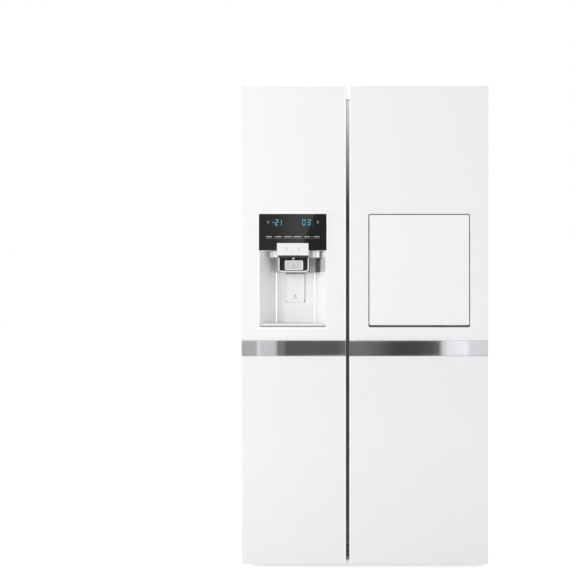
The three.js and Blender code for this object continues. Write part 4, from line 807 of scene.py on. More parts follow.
    def place(self, name: str, finish: Finish, body: Body, *replaced: str) -> bpy.types.Object:
        """Turns the mesh into a piece of the object.

        Args:
            name: the piece's name.
            finish: its finish.
            body: the body it rides on.
            *replaced: CAD nodes that it stands for.

        Returns:
            The piece.
        """
        for face in self.bm.faces:
            face.smooth = True
        for edge in self.bm.edges:
            edge.smooth = edge.calc_face_angle(0) < SMOOTH_BELOW
        bmesh.ops.scale(self.bm, vec=(MM, MM, MM), verts=list(self.bm.verts))
        mesh = bpy.data.meshes.new(name)
        self.bm.to_mesh(mesh)
        self.bm.free()
        mesh.materials.append(material(finish))
        piece = bpy.data.objects.new(name, mesh)
        bpy.context.scene.collection.objects.link(piece)
        weighted = piece.modifiers.new("even_shading", "WEIGHTED_NORMAL")
        weighted.keep_sharp = True
        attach(piece, body.value)
        if replaced:
            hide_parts(*replaced)
        LOG.info("%s rides on %s in %s", name, body.value, finish.name)
        return piece


def eased(node: str, width: float, segments: int) -> Shape:
    """Copies a CAD node and eases its sharp edges.

    Args:
        node: the node's name.
        width: radius of the eased edges in millimetres.
        segments: faces across each eased edge.

    Returns:
        The copy, ready to be placed in the node's stead.
    """
    shape = Shape()
    shape.bm.from_mesh(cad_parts[node].data)
    bmesh.ops.scale(shape.bm, vec=(1 / MM,) * 3, verts=list(shape.bm.verts))
    bmesh.ops.remove_doubles(shape.bm, verts=list(shape.bm.verts), dist=0.004)
    sharp = [e for e in shape.bm.edges if len(e.link_faces) == 2 and e.calc_face_angle(0) > SMOOTH_BELOW]
    shape.bevel(sharp, width, segments)
    return shape


def refine(node: str, name: str, finish: Finish, body: Body, width: float, segments: int = 2) -> None:
    """Places an eased copy of a CAD node in its stead.

    Args:
        node: the node's name.
        name: the name of the piece that replaces it.
        finish: the piece's finish.
        body: the body it rides on.
        width: radius of the eased edges in millimetres.
        segments: faces across each eased edge.
    """
    eased(node, width, segments).place(name, finish, body, node)


# -------------------- studio
BAND_SHADES: tuple[Span, ...] = (  # place across in metres, and grey
    (-0.93, 0.44), (-0.80, 0.46), (-0.785, 0.8), (-0.76, 0.62), (-0.655, 0.6), (-0.64, 0.17),
    (-0.60, 0.22), (-0.58, 0.11), (-0.2, 0.1), (-0.15, 0.15), (-0.07, 0.17), (0.02, 0.16), (0.13, 0.1),
    (0.22, 0.06), (0.37, 0.062), (0.5, 0.09), (0.545, 0.14), (0.565, 0.6), (0.61, 0.86), (0.75, 0.98),
    (0.77, 0.75), (0.93, 0.72),
)
GREY_TINT = (1.0, 0.985, 1.015)  # what turns a grey of the flags slightly cool


@dataclass
class Studio:
    """The camera, the pale floor, the soft lamps and the dark flag that bright metal and glass mirror."""

    distance: float = 2.5  # camera to the glass, in metres
    eye: float = 1.0  # height of the camera
    lens: float = 43.1
    sensor: float = 36.0
    shift_x: float = -0.1337
    shift_y: float = 0.0117
    world_light: float = 0.55
    floor_lift: float = 0.6
    floor_half: float = 9.0
    flag_behind: float = 0.05  # how far behind the camera the flags hang

    @property
    def camera_y(self) -> float:
        """The camera's place in front of the glass, in metres."""
        return Block.of("freezer_door_glass_upper").y[0] * MM - self.distance

    def camera(self) -> None:
        """Makes the scene's camera, level and square to the doors."""
        data = bpy.data.cameras.new("camera")
        data.lens, data.sensor_width = self.lens, self.sensor
        data.shift_x, data.shift_y = self.shift_x, self.shift_y
        camera = bpy.data.objects.new("camera", data)
        camera.location = (0, self.camera_y, self.eye)
        camera.rotation_euler = (math.pi / 2, 0, 0)
        bpy.context.scene.collection.objects.link(camera)
        bpy.context.scene.camera = camera

    def world(self) -> None:
        """Makes a white surround for the camera, gloss and clear pieces, and a dimmer one for the rest."""
        world = bpy.data.worlds.new("studio_world")
        world.use_nodes = True
        tree = world.node_tree
        tree.nodes.clear()
        add, link = tree.nodes.new, tree.links.new
        path = add("ShaderNodeLightPath")
        seen, clear = (add("ShaderNodeMath") for _ in range(2))
        seen.operation = clear.operation = "MAXIMUM"
        link(path.outputs["Is Camera Ray"], seen.inputs[0])
        link(path.outputs["Is Glossy Ray"], seen.inputs[1])
        link(seen.outputs[0], clear.inputs[0])
        link(path.outputs["Is Transmission Ray"], clear.inputs[1])
        light = add("ShaderNodeMapRange")
        light.inputs["To Min"].default_value = self.world_light
        light.inputs["To Max"].default_value = 1.0
        link(clear.outputs[0], light.inputs["Value"])
        background = add("ShaderNodeBackground")
        background.inputs["Color"].default_value = (1, 1, 1, 1)
        link(light.outputs["Result"], background.inputs["Strength"])
        output = add("ShaderNodeOutputWorld")
        link(background.outputs["Background"], output.inputs["Surface"])
        bpy.context.scene.world = world

    def floor(self) -> None:
        """Makes the floor: pale, lifted to white where the camera sees it lit, and still shadowed."""
        graph = Graph("studio_floor")
        diffuse = graph.add("ShaderNodeBsdfDiffuse")
        tone = graph.ramp(graph.noise(0.8, 2), [(0.3, (0.9, 0.9, 0.9)), (0.7, (0.92, 0.92, 0.92))])
        graph.link(tone, diffuse.inputs["Color"])
        lift = graph.add("ShaderNodeEmission")
        path = graph.add("ShaderNodeLightPath")
        amount = graph.add("ShaderNodeMath", operation="MULTIPLY")
        amount.inputs[1].default_value = self.floor_lift
        graph.link(path.outputs["Is Camera Ray"], amount.inputs[0])
        graph.link(amount.outputs[0], lift.inputs["Strength"])
        both = graph.add("ShaderNodeAddShader")
        graph.link(diffuse.outputs[0], both.inputs[0])
        graph.link(lift.outputs[0], both.inputs[1])
        graph.link(both.outputs[0], graph.output.inputs["Surface"])
        bm = bmesh.new()
        bmesh.ops.create_grid(bm, x_segments=1, y_segments=1, size=self.floor_half)
        self.settle(bm, "floor", graph.material)

    def flag(self, name: str, corners: Sequence[Span], stops: Sequence[Span]) -> None:
        """Hangs a shaded flag behind the camera that only gloss sees.

        Args:
            name: the flag's name.
            corners: its outline across and up, in metres.
            stops: where across it, in metres, each shade of grey stands.
        """
        graph = Graph(name)
        split = graph.add("ShaderNodeSeparateXYZ")
        graph.link(graph.coords.outputs["Object"], split.inputs["Vector"])
        low, high = stops[0][0], stops[-1][0]
        across = graph.add("ShaderNodeMapRange", {"From Min": low, "From Max": high})
        graph.link(split.outputs["X"], across.inputs["Value"])
        shades = [((x - low) / (high - low), tuple(grey * tint for tint in GREY_TINT)) for x, grey in stops]
        glow = graph.add("ShaderNodeEmission")
        graph.link(graph.ramp(across.outputs["Result"], shades), glow.inputs["Color"])
        graph.link(glow.outputs[0], graph.output.inputs["Surface"])
        bm = bmesh.new()
        y = self.camera_y - self.flag_behind
        bm.faces.new([bm.verts.new((x, y, z)) for x, z in corners])
        flag = self.settle(bm, name, graph.material)
        for ray in ("camera", "diffuse", "shadow", "transmission", "volume_scatter"):
            setattr(flag, f"visible_{ray}", False)

    def flags(self) -> None:
        """Hangs what the mirror band and the black panel show: steps of grey and one slanted edge."""
        left, right = BAND_SHADES[0][0], BAND_SHADES[-1][0]
        low, high = 0.53, 0.69
        self.flag("band_flag", [(left, low), (right, low), (right, high), (left, high)], BAND_SHADES)
        low, high = 1.28, 1.61
        self.flag("panel_flag", [(-0.8, low), (-0.485, low), (-0.366, high), (-0.8, high)],
                  [(-0.8, 0.22), (-0.66, 0.3), (-0.5, 0.85), (-0.366, 1.0)])
        self.flag("panel_dark_flag", [(-0.485, low), (-0.24, low), (-0.24, high), (-0.366, high)],
                  [(-0.485, 0.05), (-0.24, 0.12)])

    @staticmethod
    def settle(bm: bmesh.types.BMesh, name: str, finish: bpy.types.Material) -> bpy.types.Object:
        """Makes a stage object.

        Args:
            bm: its mesh, in metres.
            name: its name.
            finish: its material.

        Returns:
            The object.
        """
        mesh = bpy.data.meshes.new(name)
        bm.to_mesh(mesh)
        bm.free()
        mesh.materials.append(finish)
        thing = bpy.data.objects.new(name, mesh)
        bpy.context.scene.collection.objects.link(thing)
        return thing

    def lamp(self, name: str, place: Point, target: Point, size: Span, power: float) -> None:
        """Adds a soft lamp.

        Args:
            name: the lamp's name.
            place: where it hangs, in metres.
            target: what it faces.
            size: its width and height.
            power: its power in watts.
        """
        data = bpy.data.lights.new(name, "AREA")
        data.shape, data.size, data.size_y, data.energy = "RECTANGLE", size[0], size[1], power
        lamp = bpy.data.objects.new(name, data)
        lamp.location = place
        lamp.rotation_euler = (Vector(target) - Vector(place)).to_track_quat("-Z", "Y").to_euler()
        bpy.context.scene.collection.objects.link(lamp)

    def build(self) -> None:
        """Builds the studio."""
        self.world()
        self.floor()
        self.flags()
        self.lamp("key", (-3.2, -1.95, 1.55), (0, -0.35, 1.15), (1.3, 1.3), 38)
        self.lamp("spot", (-2.1, -2.75, 1.8), (0, -0.35, 1.0), (0.5, 0.5), 21)
        self.lamp("fill", (2.15, -3.0, 1.1), (0, -0.35, 0.9), (1.5, 1.5), 19)
        self.lamp("top", (0, -0.8, 3.6), (0, 0, 0.8), (2.2, 2.2), 7)
        self.lamp("rear", (0.0, 3.0, 3.7), (0, 0.3, 0.9), (1.6, 2.0), 44)
        view = bpy.context.scene.view_settings
        view.view_transform = "Standard"


# -------------------- doors
# inset, width, front, back and edge radius of each fold of a door's seal
SEAL_FOLDS: tuple[tuple[float, float, float, float, float], ...] = (
    (0.6, 11.0, 0.0, 2.6, 0.7), (1.8, 8.6, 2.4, 4.3, 0.7), (2.8, 6.4, 4.1, 5.9, 0.6),
    (0.8, 11.4, 5.7, 9.8, 1.3), (12.2, 1.8, 0.0, 6.6, 0.6),
)


@dataclass
class Door:
    """One door around its CAD nodes: glass, band, grip, seal, liner and bins."""

    name: str
    body: Body
    grip_side: int  # 1 where the grip is on the door's right edge
    bin_lows: tuple[float, ...]
    ease: float = 0.7  # radius of the glass's polished edges
    # width of the near white strip that paints the edge's highlight
    strip: float = 4.2
    cap: float = 0.7
    grip_wall: float = 1.2
    grip_deep: float = 17.0
    grip_front: float = 16.0  # from the pan's front to the channel
    grip_opening: float = 26.0
    grip_radius: float = 6.0
    grip_end: float = 150.0  # from the pan's ends to the channel's ends
    pin_in: float = 18.0  # from the pan's outer edge to the hinge pins
    pin_back: float = 38.0  # from the pan's front to the hinge pins
    bin_height: float = 96.0
    cad_bin_low: float = 430.0

    def node(self, part: str) -> str:
        """Gives the name of one of the door's CAD nodes."""
        return f"{self.name}_door_{part}"

    @property
    def pan(self) -> Block:
        """The door's foam-filled steel pan."""
        return Block.of(self.node("body"))

    def faces(self) -> None:
        """Replaces the glass panels and the mirror band with ones that have polished edges."""
        faces = (("glass_upper", WHITE_GLASS, self.ease), ("glass_lower", WHITE_GLASS, self.ease),
                 ("band", MIRROR, 0.5))
        for part, finish, width in faces:
            refine(self.node(part), f"{self.name}_{part}_polished", finish, self.body, width)
        band, glass = Block.of(self.node("band")), Block.of(self.node("glass_upper"))
        beads = Shape()
        for z in (band.z[1], band.z[0] - 0.8):
            beads.box(grown(band.x, -0.3), (band.y[0], glass.y[1] - 0.5), (z + 0.05, z + 0.75), 0.2, 1)
        beads.place(f"{self.name}_band_beads", CHROME, self.body)

    def painted_edge_highlights(self) -> None:
        """Adds a near white strip down the glass's edge at the finger gap, a painted highlight where the
        polished edge catches light.
        """
        highlight_strips = Shape()
        for part in ("glass_upper", "glass_lower"):
            glass = Block.of(self.node(part))
            edge = glass.x[1] if self.grip_side > 0 else glass.x[0]
            highlight_strips.box(onward(edge, -self.grip_side * self.strip), (glass.y[0] - 0.25, glass.y[0] + 1.5),
                       grown(glass.z, -0.2), 0.25, 2)
        highlight_strips.place(f"{self.name}_edge_strips", EDGE_HIGHLIGHT, self.body)

    def grip(self) -> None:
        """Lines the grip channel in the door's edge with dark plastic, and closes its ends."""
        pan = self.pan
        edge = pan.x[1] if self.grip_side > 0 else pan.x[0]
        inner = edge - self.grip_side * self.grip_deep
        front, back = onward(pan.y[0] + self.grip_front, self.grip_opening)
        z = grown(pan.z, -self.grip_end - 0.2)
        liner = Shape()
        plan = [(edge, front), *self.corner(inner, front, 1), *self.corner(inner, back, -1), (edge, back)]
        verts = [liner.bm.verts.new((x, y, z[0])) for x, y in plan]
        edges = [liner.bm.edges.new(pair) for pair in zip(verts, verts[1:])]
        raised = bmesh.ops.extrude_edge_only(liner.bm, edges=edges)["geom"]
        top = [v for v in raised if isinstance(v, Vert)]
        bmesh.ops.translate(liner.bm, vec=(0, 0, z[1] - z[0]), verts=top)
        liner.mend(set())
        middle = Vector((inner, (front + back) / 2, sum(z) / 2))
        wall = min(liner.bm.faces, key=lambda face: (face.calc_center_median() - middle).length)
        if wall.normal.x * self.grip_side > 0:
            bmesh.ops.reverse_faces(liner.bm, faces=list(liner.bm.faces))
        bmesh.ops.solidify(liner.bm, geom=list(liner.bm.faces), thickness=self.grip_wall)
        for low in (z[0], z[1] - 1.5):
            liner.box(onward(edge, -self.grip_side * (self.grip_deep - 1)), (front + 0.8, back - 0.8),
                      (low, low + 1.5), 0.3, 1)
        liner.place(f"{self.name}_grip_liner", GRIP_PLASTIC, self.body)

    def corner(self, x: float, y: float, turn: int) -> list[Span]:
        """Rounds one corner of the grip's plan.

        Args:
            x: the corner's place across the door.
            y: its place through the door.
            turn: 1 at the front corner and -1 at the back one.

        Returns:
            The points of the arc, in order from front to back.
        """
        across, along = self.grip_side * self.grip_radius, turn * self.grip_radius
        angles = [math.radians(angle) for angle in (90, 67.5, 45, 22.5, 0)]
        arc = [(x + across - across * math.cos(angle), y + along - along * math.sin(angle))
               for angle in angles]
        return arc if turn > 0 else arc[::-1]

    def caps(self) -> None:
        """Adds the moulded end caps with their screws, and a bush at each pin."""
        pan = self.pan
        pin_x = pan.x[0] + self.pin_in if self.grip_side > 0 else pan.x[1] - self.pin_in
        pin_y = pan.y[0] + self.pin_back
        for word, z, out in (("top", pan.z[1], 1), ("bottom", pan.z[0], -1)):
            cap = Shape().plate(grown(pan.x, -1.5), grown(pan.y, -1.2), onward(z, out * self.cap), Axis.Z,
                                4, 0.25)
            for share in (0.12, 0.5, 0.88):
                x = pan.x[0] + (pan.x[1] - pan.x[0]) * share
                cap.rod((x, pan.y[1] - 12, z + out * self.cap), Axis.Z, 4.2, 0.3, 16)
            cap.place(f"{self.name}_cap_{word}", WHITE_PLASTIC, self.body)
            bush = Shape().lathe([(5.6, 0), (9.5, 0), (9.5, 0.9), (8.8, 1.1), (5.6, 1.1)],
                                 (pin_x, pin_y, z if out > 0 else z - 1.1), Axis.Z)
            bush.place(f"{self.name}_pin_bush_{word}", GREY_PLASTIC, self.body)

    def seal(self) -> None:
        """Replaces the plain seal with a folded magnetic one, a ring for each fold."""
        seal = Block.of(self.node("gasket"))
        folded = Shape()
        for inset, wall, low, high, bevel in SEAL_FOLDS:
            folded.ring(grown(seal.x, -inset), grown(seal.z, -inset), wall,
                        (seal.y[0] + low, seal.y[0] + high), 5, bevel)
        folded.place(f"{self.name}_folded_seal", SEAL, self.body, self.node("gasket"))

    def liner(self) -> None:
        """Softens the moulded liner and adds the ribs that the bins hang on."""
        refine(self.node("liner"), f"{self.name}_moulded_liner", LINER_PLASTIC, self.body, 2.2, 3)
        bin_box = Block.of(self.node("bin"))
        lugs = Shape()
        for low in (*self.bin_lows, self.cad_bin_low):
            for side in (-1, 1):
                edge = bin_box.x[0] - 0.4 if side < 0 else bin_box.x[1] + 0.4
                for y in (bin_box.y[0] + 22, bin_box.y[0] + 34):
                    lugs.box(onward(edge, side * 3.4), around(y, 3), (low + 18, low + 62), 1.1, 2)
        lugs.place(f"{self.name}_bin_lugs", LINER_PLASTIC, self.body)

    def bins(self) -> None:
        """Adds the door bins, each with a frosted tub, a white front rail and a lip."""
        box = Block.of(self.node("bin"))
        for index, low in enumerate((self.cad_bin_low, *self.bin_lows)):
            height = box.z[1] - box.z[0] if index == 0 else self.bin_height
            tub = Shape().tub(box.x, box.y, onward(low, height), 2.4, 14, 4)
            for x in steps(box.x[0] + 40, box.x[1] - 40, 5):
                tub.box(around(x, 1), (box.y[0] + 6, box.y[1] - 6), (low + 2, low + 4), 0.5, 1)
            replaced = (self.node("bin"),) if index == 0 else ()
            tub.place(f"{self.name}_bin_{index + 1}", CLEAR_PLASTIC, self.body, *replaced)
            top = low + height
            rail = Shape().plate(grown(box.x, -0.2), around(box.y[1], 1.5), (top - 16, top + 3), Axis.Y,
                                 6, 1.0)
            rail.box(grown(box.x, -18), (box.y[1] - 0.5, box.y[1] + 2.1), (top - 10, top - 5), 0.8)
            rail.place(f"{self.name}_bin_{index + 1}_rail", GLOSS_PLASTIC, self.body)

    def build(self) -> None:
        """Builds the door's pieces and dresses its own CAD nodes."""
        dress(self.node("body"), INNER_STEEL)
        self.faces()
        self.painted_edge_highlights()
        self.grip()
        self.caps()
        self.seal()
        self.liner()
        self.bins()


def dress(node: str, finish: Finish) -> None:
    """Gives a CAD node its finish.

    Args:
        node: the node's name.
        finish: the finish.
    """
    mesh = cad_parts[node].data
    mesh.materials.clear()
    mesh.materials.append(material(finish))
    LOG.info("%s is dressed in %s", node, finish.name)


# -------------------- dispenser and home bar
@dataclass
class Dispenser:
    """The ice and water dispenser in the freezer door, around its recess and its black panel."""

    sign_low: float = 1251.8
    digit_height: float = 20.8
    digit_width: float = 11.4
    digit_stroke: float = 1.7
    icon_low: float = 1202.0
    icon_high: float = 1213.0
    seam_z: Span = (1145.0, 1185.0)  # the parting line of the white block
    block_mark_z: float = 1158.5  # the bars under the cubes and the drop
    nozzle_y: float = -341.0
    nozzle_z: float = 1129.0
    pad_face_half: float = 32.8
    pad_face_z: Span = (1092.6, 1125.4)
    pad_mark_z: float = 1099.6
    paddle_mark_z: float = 985.5
    mouth_half: float = 55.0
    back_half: float = 75.5  # half of the recess's back wall
    front_half: float = 119.5  # half of the recess's mouth
    wall_y: float = -260.5  # front of the recess's back wall
    insert_z: Span = (895.0, 1083.0)
    pocket_half: float = 36.6  # half of the paddle's pocket
    pocket_z: Span = (970.8, 1081.2)
    # heights of the painted shadow plates on the recess's right wall
    shadow_plate_z: Span = (1084.0, 1136.0)
    hood_y: Span = (-329.3, -285.0)
    hood_z: Span = (1085.0, 1142.5)
    hood_wall: float = 1.2
    brow_y: float = -345.5  # front of the bar behind the white block
    brow_z: Span = (1136.4, 1160.4)
    trim: float = 5.6  # how far the pale ring reaches past the recess
    proud: float = 0.7  # how far the black glass stands in front of the door's glass
    body: Body = Body.FREEZER_DOOR

    @property
    def housing(self) -> Block:
        """The moulded recess."""
        return Block.of("dispenser_housing")

    @property
    def panel(self) -> Block:
        """The black glass panel."""
        return Block.of("dispenser_panel")

    def recess(self) -> None:
        """Softens the recess's edges and adds its beads, insert, two plates of painted shadow on the right
        wall, trim ring and paddle surround.
        """
        refine("dispenser_housing", "dispenser_recess", RECESS_PLASTIC, self.body, 1.3, 3)
        for side in (-1, 1):
            self.corner_bead(side)
        self.insert()
        # two plates whose greys are the block's painted shadow on the right wall
        self.shadow_plate("recess_cheek_deep", 0.5, 0.97, WALL_SHADOW_DARK)
        self.shadow_plate("recess_cheek_front", 0.03, 0.47, WALL_SHADOW_PALE)
        front = self.housing.y[0]
        trim = Shape().ring(grown(self.housing.x, self.trim), grown(self.housing.z, self.trim),
                            self.trim - 0.4, (front - 0.35, front + 0.6), 6, 0.25)
        trim.place("dispenser_trim_ring", TRIM_WHITE, self.body)
        left, low = Block.of("water_lever").mid.x - 36.4, self.pocket_z[0] + 0.3
        lips, y = Shape(), (self.wall_y - 1.6, self.wall_y + 3.0)
        lips.box(onward(left, 1.5), y, (low, 1080.0), 0.3, 1)
        lips.box(onward(left, 70.4), y, onward(low, 1.5), 0.3, 1)
        lips.place("paddle_surround", PADDLE_PLASTIC, self.body)

    def insert(self) -> None:
        """Adds the smooth insert on the recess's back wall, around the paddle's pocket, in a whiter plastic
        that is partly its own colour and partly painted light on the back wall.
        """
        mid, y = self.housing.mid.x, (self.wall_y - 0.9, self.wall_y + 0.1)
        wide, hole, z, pocket = self.back_half - 2.2, self.pocket_half, self.insert_z, self.pocket_z
        insert = Shape().box((mid - wide, mid - hole), y, z).box((mid + hole, mid + wide), y, z)
        insert.box(around(mid, hole), y, (z[0], pocket[0])).box(around(mid, hole), y, (pocket[1], z[1]))
        insert.place("recess_back_insert", INSERT_WHITE_LIT, self.body)

    def shadow_plate(self, name: str, start: float, end: float, finish: Finish) -> None:
        """Adds a flat plate on the recess's right wall, under the bar that carries the block, whose grey is a
        painted shadow cast by the block.

        Args:
            name: the piece's name.
            start: where it starts, as a share of the wall's depth from the front.
            end: where it ends, as a share of the wall's depth.
            finish: its finish.
        """
        mid, thick = self.housing.mid.x, 1.6
        front = Vector((mid + self.front_half, self.housing.y[0]))
        lean = Vector((mid + self.back_half, self.wall_y)) - front
        inward = Vector((-lean.y, lean.x)).normalized() * thick
        plan = [front + lean * start, front + lean * end]
        plan += [plan[1] + inward, plan[0] + inward]
        plate = Shape()
        face = plate.bm.faces.new([plate.bm.verts.new((*point, self.shadow_plate_z[0])) for point in plan])
        plate.push([face], (0, 0, self.shadow_plate_z[1] - self.shadow_plate_z[0]))
        plate.mend(set())
        plate.bevel(plate.bm.edges, 0.3, 1)
        plate.place(name, finish, self.body)

    def corner_bead(self, side: int) -> None:
        """Adds the rounded bright bead where a side wall meets the recess's back.

        Args:
            side: -1 for the left wall and 1 for the right one.
        """
        low, high = Block.of("drip_tray").z[1], Block.of("dispenser_chute").z[0]
        x = self.housing.mid.x + side * (self.back_half - 1.5)
        bead = Shape().rod((x, self.housing.y[1] - 21.0, (low + high) / 2), Axis.Z, 4.2, high - low + 3.0,
                           20, 0.6)
        word = "left" if side < 0 else "right"
        bead.place(f"recess_bead_{word}", BEAD_CHROME, self.body)

    def panel_glass(self) -> None:
        """Replaces the panel with a black glass that covers the opening's whole width."""
        housing, panel = self.housing, self.panel
        front = panel.y[0] - self.proud
        glass = Shape().plate(grown(housing.x, 0.3), (front, panel.y[0] - 0.05),
                              (panel.z[0], housing.z[1] + 0.3), Axis.Y, 1.6, 0.25)
        glass.add(eased("dispenser_panel", 0.4, 1))
        glass.place("dispenser_black_panel", BLACK_GLASS, self.body, "dispenser_panel")

    def segment_digit(self, shape: Shape, left: float, lit: str) -> None:
        """Adds the lit segments of one digit.

        Args:
            shape: the shape that takes them.
            left: the digit's left edge.
            lit: the lit segments' letters, a to g.
        """
        low, high = onward(self.sign_low, self.digit_height)
        mid, thick, right = (low + high) / 2, self.digit_stroke, left + self.digit_width
        gap = 0.5 + thick * 0.3
        flat = {"a": high - thick, "g": mid - thick / 2, "d": low}
        post = {"f": (left, mid, high), "b": (right - thick, mid, high),
                "e": (left, low, mid), "c": (right - thick, low, mid)}
        for letter in lit:
            if letter in flat:
                shape.pane(grown((left, right), -thick * 0.6), onward(flat[letter], thick), self.sheet, 0.5)
            else:
                at, bottom, top = post[letter]
                shape.pane(onward(at, thick), (bottom + gap, top - gap), self.sheet, 0.5)

    @property
    def sheet(self) -> Span:
        """The thin layer just in front of the black panel that holds its marks."""
        front = self.panel.y[0] - self.proud
        return front - 0.1, front - 0.02

    def display(self) -> None:
        """Adds the two lit temperatures, each in its own darker window."""
        mid, z = self.panel.mid.x, onward(self.sign_low, self.digit_height)
        windows = Shape()
        for left in (mid - 80, mid + 24):
            windows.pane(onward(left, 52), grown(z, 6), (self.sheet[0] + 0.07, self.sheet[1] + 0.01), 3)
        windows.place("display_windows", DISPLAY_WINDOW, self.body)
        signs = Shape()
        signs.pane(onward(mid - 73.5, 6), around(sum(z) / 2, self.digit_stroke / 2), self.sheet, 0.5)
        for at, lit in ((-64, "abged"), (-52, "bc"), (35, "abcdef"), (52, "abcdg")):
            self.segment_digit(signs, mid + at, lit)
        signs.place("display_digits", DIGIT_GLOW, self.body)
        ring = Shape().ring(onward(mid + 65.0, 3.4), onward(z[1], -3.6), 0.8, self.sheet, 1.2)
        ring.place("display_degree_rings", DIGIT_GLOW, self.body)

    def marks(self) -> None:
        """Adds the touch keys' generic marks, bright over dim, and small bars beside the display."""
        mid, y = self.panel.mid.x, self.sheet
        dim, bright = Shape(), Shape()
        for at in (-89, 91):
            for row, half in enumerate((4.5, 3.2, 1.8)):
                dim.pane(around(mid + at, half), around(self.sign_low + 14 - row * 4.2, 0.7), y, 0.3)
        for at, half in ((-86.5, 12), (-52, 12.5), (-17.5, 15), (17, 15.5), (52.5, 12), (86.5, 12)):
            bright.pane(around(mid + at, half * 0.86), around(self.icon_high - 2.4, 0.9), y, 0.4)
            for place in steps(-half * 0.7, half * 0.7, 4):
                dim.pane(around(mid + at + place, half * 0.15), around(self.icon_low + 3.0, 0.65), y, 0.3)
        for at in (-69, -35, 0, 35, 69.5):
            dim.pane(around(mid + at, 0.35), (self.icon_low, self.icon_high - 0.5), y)
        dim.place("panel_marks_dim", MARK_PRINT, self.body)
        bright.place("panel_marks_bright", MARK_BRIGHT, self.body)

    def block_icons(self) -> None:
        """Marks the white block with ice cubes and a drop, and parts it in the middle."""
        chute = Block.of("dispenser_chute")
        y, mid = (chute.y[0] - 0.03, chute.y[0] + 0.02), chute.mid.x
        cube, pitch, off, low = 3.3, 4.2, 22.8, self.block_mark_z
        icons = Shape()
        for x in (mid - 26.5, mid - 26.5 + pitch):
            for z in (low + 5.5, low + 5.5 + pitch):
                icons.pane(onward(x, cube), onward(z, cube), y, 0.8)
        for at in (-off, off):
            icons.pane(around(mid + at, 5), around(low, 0.5), y, 0.3)
        self.drop(icons, mid + off, low + 5.1, 8.2, y)
        icons.place("chute_icons", ICON_PRINT, self.body)
        Shape().box(around(mid, 0.3), y, self.seam_z).place("chute_seam", GREY_PLASTIC, self.body)

    @staticmethod
    def drop(shape: Shape, x: float, low: float, height: float, y: Span) -> None:
        """Adds a flat drop of water.

        Args:
            shape: the shape that takes it.
            x: its middle.
            low: its lowest point.
            height: its height.
            y: its thickness.
        """
        radius = height * 0.34
        before = set(shape.bm.verts)
        made = bmesh.ops.create_circle(shape.bm, cap_ends=True, segments=20, radius=radius,
                                       matrix=Matrix.Rotation(math.pi / 2, 4, "X"))["verts"]
        for vert in made:
            if vert.co.z > 0:
                lift = vert.co.z / radius
                vert.co.z += (height - 2 * radius) * lift ** 3
                vert.co.x *= 1 - 0.55 * lift
        bmesh.ops.translate(shape.bm, vec=(x, y[0], low + radius), verts=made)
        faces = shape.faces_since(before)
        if faces[0].normal.y > 0:
            bmesh.ops.reverse_faces(shape.bm, faces=faces)
        shape.push(faces, (0, y[1] - y[0], 0))
        shape.mend(before)

    def chute(self) -> None:
        """Dresses the white block, and adds the hood and the lintel, near black as painted shade in the
        chute's mouth, and the water's nozzle.
        """
        refine("dispenser_chute", "dispenser_block", BLOCK_PLASTIC, self.body, 0.8)
        mid, wall = self.housing.mid.x, self.hood_wall
        hood = Shape()
        x, y, z = around(mid, self.mouth_half), self.hood_y, self.hood_z
        hood.box(onward(x[0], wall), y, z, 0.3, 1).box(onward(x[1], -wall), y, z, 0.3, 1)
        hood.box(grown(x, -wall), onward(y[1], -wall), z, 0.3, 1)
        hood.box(grown(x, -wall), (y[0], y[1] - wall), onward(z[1], -wall), 0.3, 1)
        # the hood's and lintel's near black is painted shade in the chute's mouth
        hood.place("chute_hood", CAVITY_SHADE, self.body)
        lintel = Shape().box(around(mid, self.mouth_half + 1.5), around(self.brow_y, 1.0),
                             (z[1] - 6.9, z[1] + 0.8), 0.3, 1)
        lintel.place("chute_lintel", CAVITY_SHADE, self.body)
        profile = [(0, 0), (2.6, 0), (3.4, 1.0), (4.2, 6.0), (5.5, 7.5), (5.5, 10.0), (0, 10.0)]
        nozzle = Shape().lathe(profile, (mid, self.nozzle_y, self.nozzle_z), Axis.Z, 28)
        nozzle.place("water_nozzle", LEVER_PLASTIC, self.body)

    def brow(self) -> None:
        """Adds the stepped facings at each end of the bar behind the white block, in greys that paint the
        shade under the black panel.
        """
        y = self.brow_y
        facings = (("outer_left", (-348.0, -337.5), BROW_SHADE),
                   ("inner_right", (-202.0, -192.0), BROW_DEEP_SHADE),
                   ("outer_right", (-192.0, -176.6), BROW_HALF_SHADE))
        # greys that paint the shade under the black panel
        for word, x, finish in facings:
            step = Shape().box(x, (y - 0.9, y + 2.0), self.brow_z, 0.5, 2)
            step.place(f"brow_facing_{word}", finish, self.body)
        end = Shape().box((-176.4, -167.5), (y - 0.6, y + 26.0), self.brow_z, 0.8, 2)
        end.place("brow_end", CORNER_BEAD, self.body)

    def ice_lever(self) -> None:
        """Dresses the ice lever near black, as painted shade in the chute's mouth, and adds its face, raised
        rim and printed mark.
        """
        pad = Block.of("ice_lever")
        # the arm's near black is painted shade in the chute's mouth
        refine("ice_lever", "ice_lever_arm", CAVITY_SHADE, Body.ICE_PAD, 0.9)
        mid, front = pad.mid.x, pad.y[0]
        x, z = around(mid, self.pad_face_half), self.pad_face_z
        face = Shape().plate(x, (front - 0.5, front + 0.6), z, Axis.Y, 4, 0.3)
        face.place("ice_lever_face", LEVER_PLASTIC, Body.ICE_PAD)
        rim = Shape().ring(grown(x, 0.8), grown(z, 0.8), 3.0, (front - 1.5, front + 1.2), 5, 0.6)
        rim.place("ice_lever_rim", CORNER_BEAD, Body.ICE_PAD)
        mark, sheet, low = Shape(), (front - 0.58, front - 0.48), self.pad_mark_z
        self.drop(mark, mid, low + 7.4, 8.5, sheet)
        for at, half in ((low + 3.4, 4.5), (low, 6.0)):
            mark.pane(around(mid, half), around(at, 0.7), sheet, 0.4)
        mark.place("ice_lever_mark", ICON_PRINT, Body.ICE_PAD)

